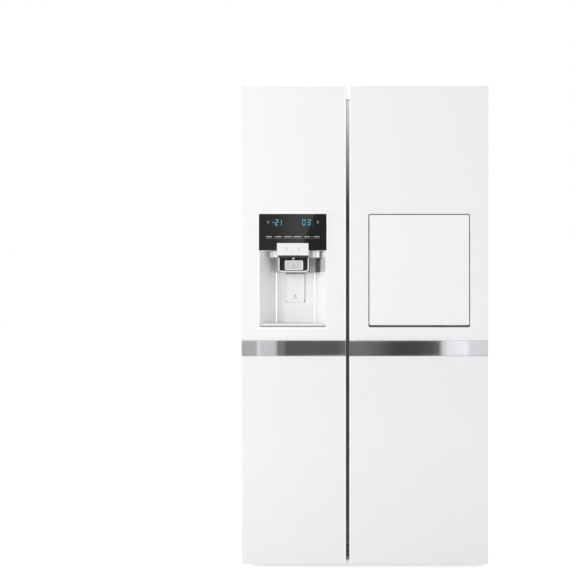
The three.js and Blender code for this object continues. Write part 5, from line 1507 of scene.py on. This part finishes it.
    def water_paddle(self) -> None:
        """Dresses the water paddle and prints a drop over a glass on it."""
        paddle = Block.of("water_lever")
        refine("water_lever", "water_paddle_moulding", PADDLE_PLASTIC, Body.WATER_PADDLE, 0.9)
        mid, sheet, low = paddle.mid.x - 0.5, around(paddle.y[0], 0.05), self.paddle_mark_z
        sign = Shape()
        self.drop(sign, mid, low + 7.0, 9.0, sheet)
        sign.pane(around(mid, 4.6), around(low + 3.5, 0.5), sheet, 0.3)
        for x in (mid - 5.4, mid + 5.4):
            sign.pane(around(x, 0.45), (low, low + 6.5), sheet)
        sign.pane(around(mid, 5.8), around(low, 0.45), sheet, 0.3)
        sign.place("water_paddle_mark", ICON_PRINT, Body.WATER_PADDLE)

    def drip_tray(self) -> None:
        """Dresses the drip tray, adds a dark lip as painted shadow and a white sill as painted highlight, and
        lays a slotted grille in it.
        """
        box, housing = Block.of("drip_tray"), self.housing
        refine("drip_tray", "drip_tray_moulding", BLOCK_PLASTIC, Body.TRAY, 0.8)
        # a dark strip on the tray's front that paints its shadow
        lip = Shape().box(grown(housing.x, -3.2), (box.y[0] - 0.8, box.y[0] + 0.6),
                          (box.z[0] + 0.2, box.z[0] + 5.4), 0.5)
        lip.place("drip_tray_lip", SILL_SHADE, Body.TRAY)
        # a near white sill under the tray that paints the highlight on the door's edge
        sill = Shape().box(grown(housing.x, 0.3), (housing.y[0] - 0.5, housing.y[0] + 2.6),
                           (housing.z[0] - 0.6, box.z[0] - 0.2), 0.6)
        sill.place("recess_sill", CORNER_BEAD, self.body)
        grille, seat = Shape(), box.z[1] - 0.2
        for x in steps(box.x[0] + 12, box.x[1] - 12, 22):
            grille.box(around(x, 1.6), (box.y[0] + 14, box.y[1] - 12), onward(seat, 1.0), 0.4, 1)
        for y in (box.y[0] + 12, box.mid.y, box.y[1] - 10):
            grille.box(grown(box.x, -9), around(y, 2.0), onward(seat, 1.2), 0.4, 1)
        grille.place("drip_tray_grille", BLOCK_PLASTIC, Body.TRAY)

    def build(self) -> None:
        """Builds the dispenser's pieces and dresses its CAD nodes."""
        self.recess()
        self.panel_glass()
        self.display()
        self.marks()
        self.chute()
        self.block_icons()
        self.brow()
        self.ice_lever()
        self.water_paddle()
        dress("ice_flap", GREY_PLASTIC)
        self.drip_tray()


@dataclass
class HomeBar:
    """The small door in the fridge door, its frame, seal, tray and catch."""

    seal_wall: float = 2.2
    seal_out: float = 3.4  # how far the seal reaches past the glass
    seal_below: float = 7.0
    tray_y: float = -323.5  # the small door's inner face
    keeper_z: Span = (1263.0, 1271.0)
    ease: float = 0.8

    def seal(self) -> None:
        """Adds the seal deep in the gap round the small door, dark to paint the shade in that gap."""
        front = Block.of("home_bar_frame").y[0]
        glass = Block.of("home_bar_glass")
        z = (glass.z[0] - self.seal_below, glass.z[1] + self.seal_out)
        ring = Shape().ring(grown(glass.x, self.seal_out), z, self.seal_wall, (front + 3.5, front + 11.5),
                            5, 0.4)
        # its dark colour paints the shade in the gap
        ring.place("home_bar_gap_seal", GRIP_PLASTIC, Body.FRIDGE_DOOR)

    def tray(self) -> None:
        """Adds the serving tray and the catch to the small door's inner side, and the catch's keeper."""
        door = Block.of("home_bar_door")
        x, z, back = grown(door.x, -38), (door.z[0] + 46, door.z[1] - 52), self.tray_y
        rim = Shape().ring(x, z, 4.5, (back - 0.3, back + 4.2), 14, 1.0)
        rim.place("home_bar_tray_rim", GLOSS_PLASTIC, Body.HOME_BAR)
        ribs = Shape()
        for at in steps(z[0] + 18, z[1] - 18, 19):
            ribs.box(grown(x, -16), (back - 0.3, back + 0.9), around(at, 1.6), 0.5, 1)
        ribs.place("home_bar_tray_ribs", LINER_PLASTIC, Body.HOME_BAR)
        mid, top = door.mid.x, z[1] + 22
        catch = Shape().plate(around(mid, 15), (back - 0.5, back + 2.4), around(top, 7), Axis.Y, 4, 0.6)
        catch.box(around(mid, 8), (back + 1, back + 9), around(top, 2.6), 1.0, 2)
        catch.place("home_bar_catch", GREY_PLASTIC, Body.HOME_BAR)
        keeper = Shape().plate(around(mid, 18), (back + 12, back + 22), self.keeper_z, Axis.Z, 3, 0.8)
        keeper.place("home_bar_keeper", GREY_PLASTIC, Body.FRIDGE_DOOR)

    def build(self) -> None:
        """Builds the home bar's pieces and dresses its CAD nodes."""
        refine("home_bar_glass", "home_bar_glass_polished", BAR_GLASS, Body.HOME_BAR, self.ease)
        self.seal()
        dress("home_bar_frame", WHITE_PLASTIC)
        dress("home_bar_door", LINER_PLASTIC)
        self.tray()


# -------------------- cabinet
@dataclass
class PaintedLightGapStrip:
    """The strip behind the finger gap, with painted light: pale and glowing at its top and dark further down,
    for the light that falls into the gap from above.
    """

    name: str = "gap_strip"
    half: float = 12.0
    # painted light: heights where the strip's grey and glow change
    painted_light_fade: Span = (1.1, 1.7)  # heights in metres where the grey starts and stops to change

    def finish(self) -> bpy.types.Material:
        """Builds the strip's own material, with painted light: its grey grows paler with height and glows
        near the top.

        Returns:
            The material.
        """
        graph = Graph(self.name)
        split = graph.add("ShaderNodeSeparateXYZ")
        graph.link(graph.coords.outputs["Object"], split.inputs["Vector"])
        height = graph.add("ShaderNodeMapRange", {"From Min": self.painted_light_fade[0], "From Max": self.painted_light_fade[1]})
        graph.link(split.outputs["Z"], height.inputs["Value"])
        shader = graph.add("ShaderNodeBsdfPrincipled", {"Roughness": 0.4})
        # painted light: the grey grows paler towards the top
        stops = [(0.0, (0.58, 0.57, 0.58)), (0.4, (0.55, 0.54, 0.55)), (1.0, (0.94, 0.94, 0.94))]
        graph.link(graph.ramp(height.outputs["Result"], stops), shader.inputs["Base Color"])
        # painted glow near the top, standing for light that falls into the gap
        light = [(0.0, (0, 0, 0)), (0.4, (0, 0, 0)), (0.67, (0.15, 0.15, 0.15)), (0.92, (0.32, 0.32, 0.32))]
        graph.link(graph.ramp(height.outputs["Result"], light), shader.inputs["Emission Color"])
        shader.inputs["Emission Strength"].default_value = 1.0
        graph.link(graph.bump(graph.noise(700, 4), 0.2, 0.00005), shader.inputs["Normal"])
        graph.link(shader.outputs["BSDF"], graph.output.inputs["Surface"])
        return graph.material

    def build(self) -> None:
        """Builds the strip, with its painted light, on the cabinet's middle post."""
        face = Block.of("face_frame")
        gap = (Block.of("freezer_door_body").x[1] + Block.of("fridge_door_body").x[0]) / 2
        strip = Shape().box(around(gap, self.half), (face.y[0] - 0.28, face.y[0] - 0.02), grown(face.z, -6.0),
                            0.1, 1)
        piece = strip.place(self.name, GRIP_PLASTIC, Body.CABINET)
        piece.data.materials[0] = self.finish()


@dataclass
class Cabinet:
    """The steel cabinet: its shell, hinges, base, back and machine bay."""

    shell_ease: float = 1.4
    screw_radius: float = 4.2
    rib_half: float = 9.0
    switch_in: float = 90.0  # from each door's inner edge to its switch
    switch_y: Span = (-295.2, -292.8)
    switch_z: float = 1709.0
    screen_top: float = 31.8  # top of the screen behind the kick grille
    duct_z: Span = (1729.05, 1741.0)
    port_x: float = 240.0
    port_z: float = 1210.0
    board: Block = Block((-72.0, 72.0), (-0.4, 9.0), (1480.0, 1620.0))  # its Y is counted from the back sheet
    board_screw_in: float = 10.0
    bay_screw_y: float = 353.5
    inlet: Point = (-30.0, 361.9, 220.0)
    drier: Point = (398.0, 306.0, 196.0)
    bay_top: float = 331.0
    body: Body = Body.CABINET

    def shell(self) -> None:
        """Softens the shell's folded edges, dresses the plain sheets, and adds seams and door switches."""
        refine("cabinet_shell", "cabinet_wrapper", WHITE_STEEL, self.body, self.shell_ease, 3)
        dress("face_frame", WHITE_STEEL)
        dress("cabinet_foam", FOAM)
        shell = Block.of("cabinet_shell")
        seams = Shape()
        for x, out in zip(shell.x, (-0.25, 0.25)):
            seams.box(onward(x, out), around(shell.y[1] - 16, 0.4), grown(shell.z, -14), 0.1, 1)
        seams.place("cabinet_side_seams", WHITE_STEEL, self.body)
        switches = Shape()
        left, right = Block.of("freezer_door_body").x[1], Block.of("fridge_door_body").x[0]
        for x in grown((left, right), self.switch_in):
            switches.plate(around(x, 16), self.switch_y, around(self.switch_z, 6), Axis.Y, 4, 0.5)
            switches.rod((x, self.switch_y[0] + 0.4, self.switch_z), Axis.Y, 2.6, 1.0, 16, 0.3)
        switches.place("door_switches", GREY_PLASTIC, self.body)

    def hinges(self) -> None:
        """Softens the hinge covers and plates, and adds the covers' screws and the wiring duct between."""
        for side in ("left", "right"):
            cover = Block.of(f"hinge_cover_{side}")
            refine(f"hinge_cover_{side}", f"hinge_cap_{side}", GLOSS_PLASTIC, self.body, 1.8, 3)
            screws = Shape()
            for x in (cover.x[0] + 22, cover.x[1] - 22):
                screws.screw((x, cover.y[1], cover.z[0] + 17), self.screw_radius - 0.6)
            screws.place(f"hinge_cap_screws_{side}", SCREW, self.body)
            for end, node in (("top", f"top_hinge_{side}"), ("bottom", f"bottom_hinge_{side}")):
                refine(node, f"{end}_hinge_plate_{side}", ZINC, self.body, 0.5)
        left, right = Block.of("hinge_cover_left"), Block.of("hinge_cover_right")
        y, low = around(left.y[1] - 34, 15), self.duct_z[0]
        duct = Shape().box((left.x[1] - 1, right.x[0] + 1), y, self.duct_z, 2.0, 3)
        for x in steps(left.x[1] + 30, right.x[0] - 30, 7):
            duct.box(around(x, 7), grown(y, 3), (low, low + 2.35), 0.8, 1)
        duct.place("top_wiring_duct", GLOSS_PLASTIC, self.body)

    def base(self) -> None:
        """Dresses the base frame, its grille, its feet and its rollers, and adds a screen and hubs."""
        refine("base_frame", "base_rails", GALVANISED, self.body, 0.5, 1)
        refine("kick_grille", "kick_plate", GREY_PLASTIC, self.body, 0.6, 1)
        kick = Block.of("kick_grille")
        screen = Shape().box(grown(kick.x, -16), (kick.y[1] + 0.02, kick.y[1] + 1.0),
                             (kick.z[0] + 3.0, self.screen_top), 0.2, 1)
        screen.place("kick_dust_screen", GREY_PLASTIC, self.body)
        for side in ("left", "right"):
            refine(f"levelling_foot_{side}", f"screw_foot_{side}", BLACK_PLASTIC, self.body, 0.5)
            refine(f"rear_roller_{side}", f"roller_wheel_{side}", BLACK_PLASTIC, Body(f"roller_{side}"), 0.8)
            wheel = Block.of(f"rear_roller_{side}")
            hub = Shape().rod(wheel.mid, Axis.X, 4.0, wheel.x[1] - wheel.x[0] + 1.6, 20, 0.4)
            hub.place(f"roller_hub_{side}", SCREW, Body(f"roller_{side}"))

    def back(self) -> None:
        """Adds pressed ribs, screws and two filling ports' plugs to the back sheet."""
        panel = Block.of("back_panel")
        dress("back_panel", GALVANISED)
        face = panel.y[1]
        ribs = Shape()
        for x in steps(panel.x[0] + 90, panel.x[1] - 90, 6):
            ribs.plate(around(x, self.rib_half), (face - 0.4, face + 2.6), grown(panel.z, -70), Axis.Y,
                       self.rib_half - 0.5, 1.2)
        ribs.place("back_ribs", GALVANISED, self.body)
        screws = Shape()
        for z in steps(panel.z[0] + 18, panel.z[1] - 18, 9):
            for x in grown(panel.x, -10):
                screws.screw((x, face, z), self.screw_radius)
        for x in steps(panel.x[0] + 110, panel.x[1] - 110, 5):
            for z in grown(panel.z, -10):
                screws.screw((x, face, z), self.screw_radius)
        screws.place("back_screws", SCREW, self.body)
        ports, profile = Shape(), [(0, 0), (15, 0), (15, 1.4), (12.5, 2.2), (11.8, 1.0), (0, 1.0)]
        for x in (-self.port_x, self.port_x):
            ports.lathe(profile, (x, face - 0.2, self.port_z), Axis.Y, 36)
        ports.place("foam_port_plugs", WHITE_PLASTIC, self.body)

    def board_cover(self) -> None:
        """Adds the slotted cover of the control board to the back sheet, with its screws."""
        board, face = self.board, Block.of("back_panel").y[1]
        cover = Shape().plate(board.x, (face + board.y[0], face + board.y[1]), board.z, Axis.Y, 6, 1.4)
        for z in steps(board.z[0] + 20, board.z[1] - 20, 8):
            cover.box(around(0, 44), (face + 8.4, face + 10.2), around(z, 2.2), 0.8, 1)
        cover.place("control_board_cover", GREY_PLASTIC, self.body)
        corners = Shape()
        for x in grown(board.x, -self.board_screw_in):
            for z in grown(board.z, -self.board_screw_in):
                corners.screw((x, face + board.y[1], z), 3.4)
        corners.place("control_board_screws", SCREW, self.body)

    def bay_door(self) -> None:
        """Dresses the machine bay's cover, screws it on and adds the water inlet's collar."""
        cover = Block.of("bay_cover")
        refine("bay_cover", "bay_grille", BLACK_PLASTIC, self.body, 0.35, 1)
        screws = Shape()
        for x in steps(cover.x[0] + 14, cover.x[1] - 14, 6):
            for z in grown(cover.z, -9):
                screws.screw((x, self.bay_screw_y, z), self.screw_radius)
        screws.place("bay_cover_screws", SCREW, self.body)
        profile = [(4.2, -2), (8.0, -2), (8.0, 2.6), (6.8, 3.6), (4.2, 3.6)]
        collar = Shape().lathe(profile, self.inlet, Axis.Y, 24)
        collar.place("water_inlet_collar", ZINC, self.body)

    def machine_bay(self) -> None:
        """Dresses the compressor, condenser and fan, and adds the terminal box and the fan's hub."""
        shell, fan = Block.of("compressor"), Block.of("condenser_fan")
        refine("compressor", "compressor_shell", BLACK_ENAMEL, self.body, 1.4, 3)
        mid = shell.mid
        box = Shape().plate((shell.x[1] - 34, shell.x[1] + 8), around(mid.y, 26), (mid.z - 18, mid.z + 30),
                            Axis.X, 5, 1.2)
        box.place("compressor_terminal_box", BLACK_PLASTIC, self.body)
        refine("condenser_coil", "condenser_tubes", BLACK_ENAMEL, self.body, 0.3, 1)
        refine("fan_shroud", "condenser_fan_shroud", BLACK_PLASTIC, self.body, 0.8)
        refine("condenser_fan", "condenser_fan_blades", GREY_PLASTIC, Body.BAY_FAN, 0.5)
        profile = [(0, -12), (10, -12), (16, -8), (18, 0), (18, 12), (0, 12)]
        Shape().lathe(profile, fan.mid, Axis.X, 32).place("condenser_fan_hub", BLACK_PLASTIC, Body.BAY_FAN)

    def bay_pipes(self) -> None:
        """Adds the copper pipes and the filter drier, and dresses the drain pan."""
        shell, coil, mid = Block.of("compressor"), Block.of("condenser_coil"), Block.of("compressor").mid
        x, y = self.drier[:2]
        pipes = Shape()
        pipes.tube([(shell.x[1] - 40, mid.y - 20, mid.z + 30), (shell.x[1] + 6, mid.y - 40, mid.z + 50),
                    (-60, mid.y - 60, 250), (-12, mid.y - 66, 296), (80, mid.y - 60, 304),
                    (coil.x[0] + 8, 272, 296), (coil.x[0] + 15, 281.5, coil.z[1] - 12)], 3.2)
        pipes.tube([(shell.x[1] - 52, mid.y + 24, mid.z + 36), (shell.x[1] - 6, mid.y + 40, mid.z + 62),
                    (-92, mid.y + 46, 230), (-84, mid.y + 30, 300), (-84, mid.y + 10, self.bay_top)], 3.2)
        pipes.tube([(coil.x[1] - 8, 282, coil.z[0] + 12), (coil.x[1] + 10, 300, 110), (x, y, 200),
                    (x, y - 10, 290), (x - 18, y - 26, self.bay_top)], 2.4)
        pipes.place("bay_copper_pipes", COPPER, self.body)
        profile = [(0, 0), (3, 0), (3, 8), (9, 16), (9, 70), (3, 80), (3, 88), (0, 88)]
        Shape().lathe(profile, self.drier, Axis.Z, 24).place("filter_drier", COPPER, self.body)
        refine("drain_pan", "evaporation_pan", BLACK_PLASTIC, self.body, 1.0)

    def build(self) -> None:
        """Builds the cabinet's pieces."""
        self.shell()
        PaintedLightGapStrip().build()
        self.hinges()
        self.base()
        self.back()
        self.board_cover()
        self.bay_door()
        self.machine_bay()
        self.bay_pipes()


# -------------------- rooms
@dataclass(frozen=True)
class CeilingLamp:
    """The measures of a ceiling lamp."""

    room: str
    x: Span  # the lens's span along X
    y: Span  # the lens's span along Y
    low: float  # the lens's lower face
    radius: float  # radius of the lens's corners
    base_side: float  # how far the base reaches past the lens at each side
    flute_in: Span  # how far the flutes stay inside the lens along X and Y
    flutes: int


LAMP_BASE_Z: Span = (1671.0, 1678.9)
CEILING_LAMPS = (
    CeilingLamp("fridge", (90.0, 290.0), (-184.0, -126.0), 1667.4, 9, 10, (14, 8), 18),
    CeilingLamp("freezer", (-386.0, -336.0), (-164.0, -116.0), 1666.5, 7, 6, (6, 6), 8),
)


@dataclass
class Rooms:
    """What the two rooms hold: liners, shelves, drawers, ducts, lamps and the ice maker."""

    glass_thick: float = 4.0
    rail: float = 14.0
    freezer_x: Span = (-405.5, -99.0)
    fridge_x: Span = (-27.0, 405.5)
    ledge_y: Span = (-150.0, 200.0)
    cover_top: float = 326.0  # top of the drawers' covers
    upper_drawer_low: float = 340.0
    rack_y: Span = (-150.0, 190.0)
    rack_z: float = 566.0
    rack_bar_z: float = 579.0
    body: Body = Body.CABINET

    def shelf(self, name: str, x: Span, y: Span, top: float) -> None:
        """Builds a glass shelf with its front and back rails and its side bearers.

        Args:
            name: the shelf's name.
            x: its span across the room.
            y: its span through the room.
            top: height of its top.
        """
        inner = (y[0] + 8, y[1] - 6)
        glass = Shape().box(grown(x, -6), inner, onward(top - 2, -self.glass_thick), 0.6, 2)
        glass.place(f"{name}_glass", SHELF_GLASS, self.body)
        trim = Shape().plate(x, onward(y[0], self.rail), (top - 20, top), Axis.X, 4, 0.6)
        trim.plate(x, onward(y[1], -10), (top - 12, top + 4), Axis.X, 3, 0.6)
        for edge, inward in zip(x, (9, -9)):
            trim.box(onward(edge, inward), inner, (top - 14, top - 0.2), 1.4, 2)
        trim.place(f"{name}_rails", GLOSS_PLASTIC, self.body)

    def shelves(self) -> None:
        """Replaces the three CAD shelves and adds the others."""
        for name in ("fridge_shelf_upper", "fridge_shelf_lower", "freezer_shelf"):
            box = Block.of(name)
            refine(name, f"{name}_moulding", SHELF_GLASS, self.body, 0.9)
            x, top = grown(box.x, 0.1), box.z[1]
            rails = Shape().plate(x, (box.y[0] - 0.3, box.y[0] + 12), grown(box.z, 0.3), Axis.X, 4, 0.6)
            rails.plate(x, (box.y[1] - 9, box.y[1] + 0.3), (top - 8, top + 6), Axis.X, 3, 0.6)
            for edge, inward in zip(box.x, (10, -10)):
                rails.box(onward(edge, inward), (box.y[0] + 8, box.y[1] - 6), (top - 10, top + 0.3), 1.2, 2)
            rails.place(f"{name}_rails", GLOSS_PLASTIC, self.body)
        upper, lower = Block.of("fridge_shelf_upper"), Block.of("fridge_shelf_lower")
        cold = Block.of("freezer_shelf")
        self.shelf("fridge_shelf_top", upper.x, upper.y, 1508.0)
        self.shelf("fridge_shelf_middle", upper.x, (upper.y[0] + 60, upper.y[1]), 884.0)
        self.shelf("freezer_shelf_low", cold.x, (cold.y[0], 60.0), 604.0)
        self.shelf("freezer_shelf_mid", cold.x, cold.y, 1010.0)
        self.shelf("freezer_shelf_high", cold.x, cold.y, 1216.0)
        self.shelf("crisper_cover", lower.x, (lower.y[0], 55.0), self.cover_top)
        self.shelf("freezer_drawer_cover", cold.x, (cold.y[0], 55.0), self.cover_top)

    def drawer(self, name: str, box: Block, replaced: str | None = None) -> None:
        """Builds a frosted drawer with a clear front and a white handle.

        Args:
            name: the drawer's name.
            box: its box.
            replaced: the CAD node it stands for, if any.
        """
        tub = Shape().tub(box.x, (box.y[0] + 4, box.y[1]), box.z, 2.6, 10, 6)
        for z in (box.z[0] + 40, box.z[1] - 34):
            for edge, out in zip(box.x, (-0.81, 0.81)):
                tub.box(onward(edge, out), (box.y[0] + 24, box.y[1] - 18), around(z, 3), 0.4, 1)
        tub.place(f"{name}_tub", FROSTED_PLASTIC, self.body, *((replaced,) if replaced else ()))
        front, top = box.y[0], box.z[1]
        pane = Shape().plate(box.x, (front, front + 3.4), (box.z[0] + 2, top), Axis.Y, 9, 1.0)
        pane.place(f"{name}_front", CLEAR_PLASTIC, self.body)
        trim = Shape().plate(grown(box.x, -2), (front - 6, front + 1), (top - 26, top + 2), Axis.X, 3, 0.8)
        grasp = grown(box.x, -(box.x[1] - box.x[0]) * 0.3)
        trim.box(grasp, (front - 10, front - 2), (top - 24, top - 14), 2.4, 3)
        trim.place(f"{name}_handle", GLOSS_PLASTIC, self.body)

    def drawers(self) -> None:
        """Replaces the two CAD drawers and adds one above each."""
        drawers = (("crisper", "crisper_drawer", 492.0), ("frozen_food", "freezer_drawer", 470.0))
        for name, node, _top in drawers:
            self.drawer(name, Block.of(node), node)
        for name, node, top in drawers:
            box = Block.of(node)
            upper = Block(box.x, (box.y[0], box.y[1] + 20), (self.upper_drawer_low, top))
            self.drawer(f"{name}_upper", upper)

    def liners(self) -> None:
        """Softens the two moulded liners and adds their shelf ledges."""
        for room, node in (("freezer", "freezer_liner"), ("fridge", "fridge_liner")):
            refine(node, f"{room}_moulded_room", LINER_PLASTIC, self.body, 3.0, 3)
        ledges = Shape()
        for room, heights in ((self.freezer_x, (560, 968, 1174)), (self.fridge_x, (842, 1466))):
            for z in heights:
                for wall, inward in zip(room, (5, -5)):
                    ledges.box(onward(wall, inward), self.ledge_y, (z, z + 7), 1.6, 2)
        ledges.place("shelf_ledges", LINER_PLASTIC, self.body)

    def cold_side(self) -> None:
        """Dresses the evaporator, its cover and its fan, and adds the fan's guard and the vents' hoods."""
        cover = Block.of("evaporator_cover")
        refine("evaporator_cover", "evaporator_panel", WHITE_PLASTIC, self.body, 0.9)
        refine("evaporator_coil", "evaporator_fins", ALUMINIUM, self.body, 0.25, 1)
        refine("evaporator_fan", "evaporator_fan_blades", WHITE_PLASTIC, Body.COLD_FAN, 0.4)
        fan = Block.of("evaporator_fan")
        guard = Shape()
        for radius in (16, 30, 44, 54):
            guard.lathe([(radius - 1.2, 0), (radius + 1.2, 0), (radius + 1.2, 2.2), (radius - 1.2, 2.2)],
                        (fan.mid.x, cover.y[0] - 3.0, fan.mid.z), Axis.Y, 48)
        for turn in range(6):
            bar = Shape().box((-55, 55), (-1, 1), (-1.1, 1.1), 0.3, 1).turned(turn * 30, Axis.Y)
            guard.add(bar.moved((fan.mid.x, cover.y[0] - 2.0, fan.mid.z)))
        guard.place("evaporator_fan_guard", WHITE_PLASTIC, self.body)
        vents = Shape()
        for z in (cover.z[1] - 150, cover.z[1] - 132, cover.z[1] - 114):
            vents.plate(around(cover.mid.x, 84), (cover.y[0] - 2.4, cover.y[0] + 0.4), around(z, 4), Axis.Y,
                        3.8, 0.8)
        vents.place("evaporator_vent_hoods", WHITE_PLASTIC, self.body)

    def fresh_side(self) -> None:
        """Dresses the air duct and adds its lit strip and the trims beside it."""
        duct = Block.of("air_duct")
        refine("air_duct", "air_duct_panel", WHITE_PLASTIC, self.body, 1.2)
        mid, face = duct.mid.x, duct.y[0]
        strip = Shape().plate(around(mid, 13), (face - 2.2, face + 0.6), (duct.z[0] + 120, duct.z[1] - 90),
                              Axis.Y, 6, 0.9)
        strip.place("air_duct_lamp", LAMP_LENS, self.body)
        trims = Shape()
        for x in (mid - 24, mid + 24):
            trims.plate(around(x, 5), (face - 1.4, face + 0.4), grown(duct.z, -40), Axis.Y, 4, 0.6)
        trims.place("air_duct_trims", GREY_PLASTIC, self.body)

    def lamps(self) -> None:
        """Adds a ceiling lamp with a fluted lens to each room."""
        for lamp in CEILING_LAMPS:
            base = Shape().plate(grown(lamp.x, lamp.base_side), grown(lamp.y, 6), LAMP_BASE_Z, Axis.Z,
                                 lamp.radius + 1, 1.4)
            base.place(f"{lamp.room}_lamp_base", WHITE_PLASTIC, self.body)
            lens = Shape().plate(lamp.x, lamp.y, (lamp.low, LAMP_BASE_Z[0] + 1), Axis.Z, lamp.radius, 1.6)
            for x in steps(*grown(lamp.x, -lamp.flute_in[0]), lamp.flutes):
                lens.box(around(x, 1.2), grown(lamp.y, -lamp.flute_in[1]), onward(lamp.low - 0.5, 1.5),
                         0.4, 1)
            lens.place(f"{lamp.room}_lamp_lens", LAMP_LENS, self.body)

    def ice_maker(self) -> None:
        """Dresses the ice maker, its bucket and its auger, and fills the bucket with ice."""
        refine("ice_maker", "ice_maker_frame", WHITE_PLASTIC, self.body, 0.8)
        refine("ice_bucket", "ice_bucket_tub", FROSTED_PLASTIC, self.body, 1.2)
        refine("ice_auger", "ice_auger_screw", ZINC, Body.AUGER, 0.3, 1)
        bucket, maker = Block.of("ice_bucket"), Block.of("ice_maker")
        front, top = bucket.y[0], bucket.z[1]
        cubes = Shape()
        for row, y in enumerate(steps(bucket.y[0] + 40, bucket.y[1] - 30, 9)):
            for col, x in enumerate(steps(bucket.x[0] + 26, bucket.x[1] - 26, 8)):
                lift = ((row * 13 + col * 29) % 11) * 1.1
                if abs(x - bucket.mid.x) < 56 and y < maker.y[1]:  # the heap is lower under the ice maker
                    lift -= 9
                cube = Shape().box((-11, 11), (-9, 9), (-8, 8), 3.0, 2)
                cube.turned((row * 37 + col * 53) % 90, Axis.Z)
                cube.turned((row * 23 + col * 17) % 24 - 12, Axis.X)
                cubes.add(cube.moved((x, y, bucket.z[0] + 92 + lift)))
        cubes.place("ice_cube_heap", ICE, self.body)
        handle = Shape().plate(grown(bucket.x, -1), (front - 5, front + 1.5), (top - 30, top + 1), Axis.X,
                               3, 0.8)
        handle.place("ice_bucket_handle", GLOSS_PLASTIC, self.body)

    def rack(self) -> None:
        """Adds the chromed bottle rack over the upper drawer."""
        wires = Shape()
        front, back = self.rack_y
        for x in steps(8, 370, 14):
            z = self.rack_z + 5.0 * math.cos(x / 15.0)
            wires.tube([(x, front, z + 12), (x, front + 10, z), (x, 0.0, z - 2), (x, back - 10, z),
                        (x, back, z + 12)], 1.6, 8)
        for y in self.rack_y:
            wires.tube([(x, y, self.rack_bar_z) for x in (-24, 190, 403)], 2.6, 8)
        wires.place("bottle_rack", CHROME, self.body)

    def build(self) -> None:
        """Builds the rooms' pieces."""
        self.liners()
        self.shelves()
        self.drawers()
        self.cold_side()
        self.fresh_side()
        self.lamps()
        self.ice_maker()
        self.rack()


def main() -> None:
    """Builds the refrigerator's pieces in order."""
    logging.basicConfig(level=logging.INFO, format="%(name)s: %(message)s")
    studio = Studio()
    studio.camera()
    Door("freezer", Body.FREEZER_DOOR, 1, (170.0, 1450.0)).build()
    Door("fridge", Body.FRIDGE_DOOR, -1, (170.0, 640.0, 1340.0, 1500.0)).build()
    Dispenser().build()
    HomeBar().build()
    Cabinet().build()
    Rooms().build()
    studio.build()


if __name__ == "__main__":
    main()
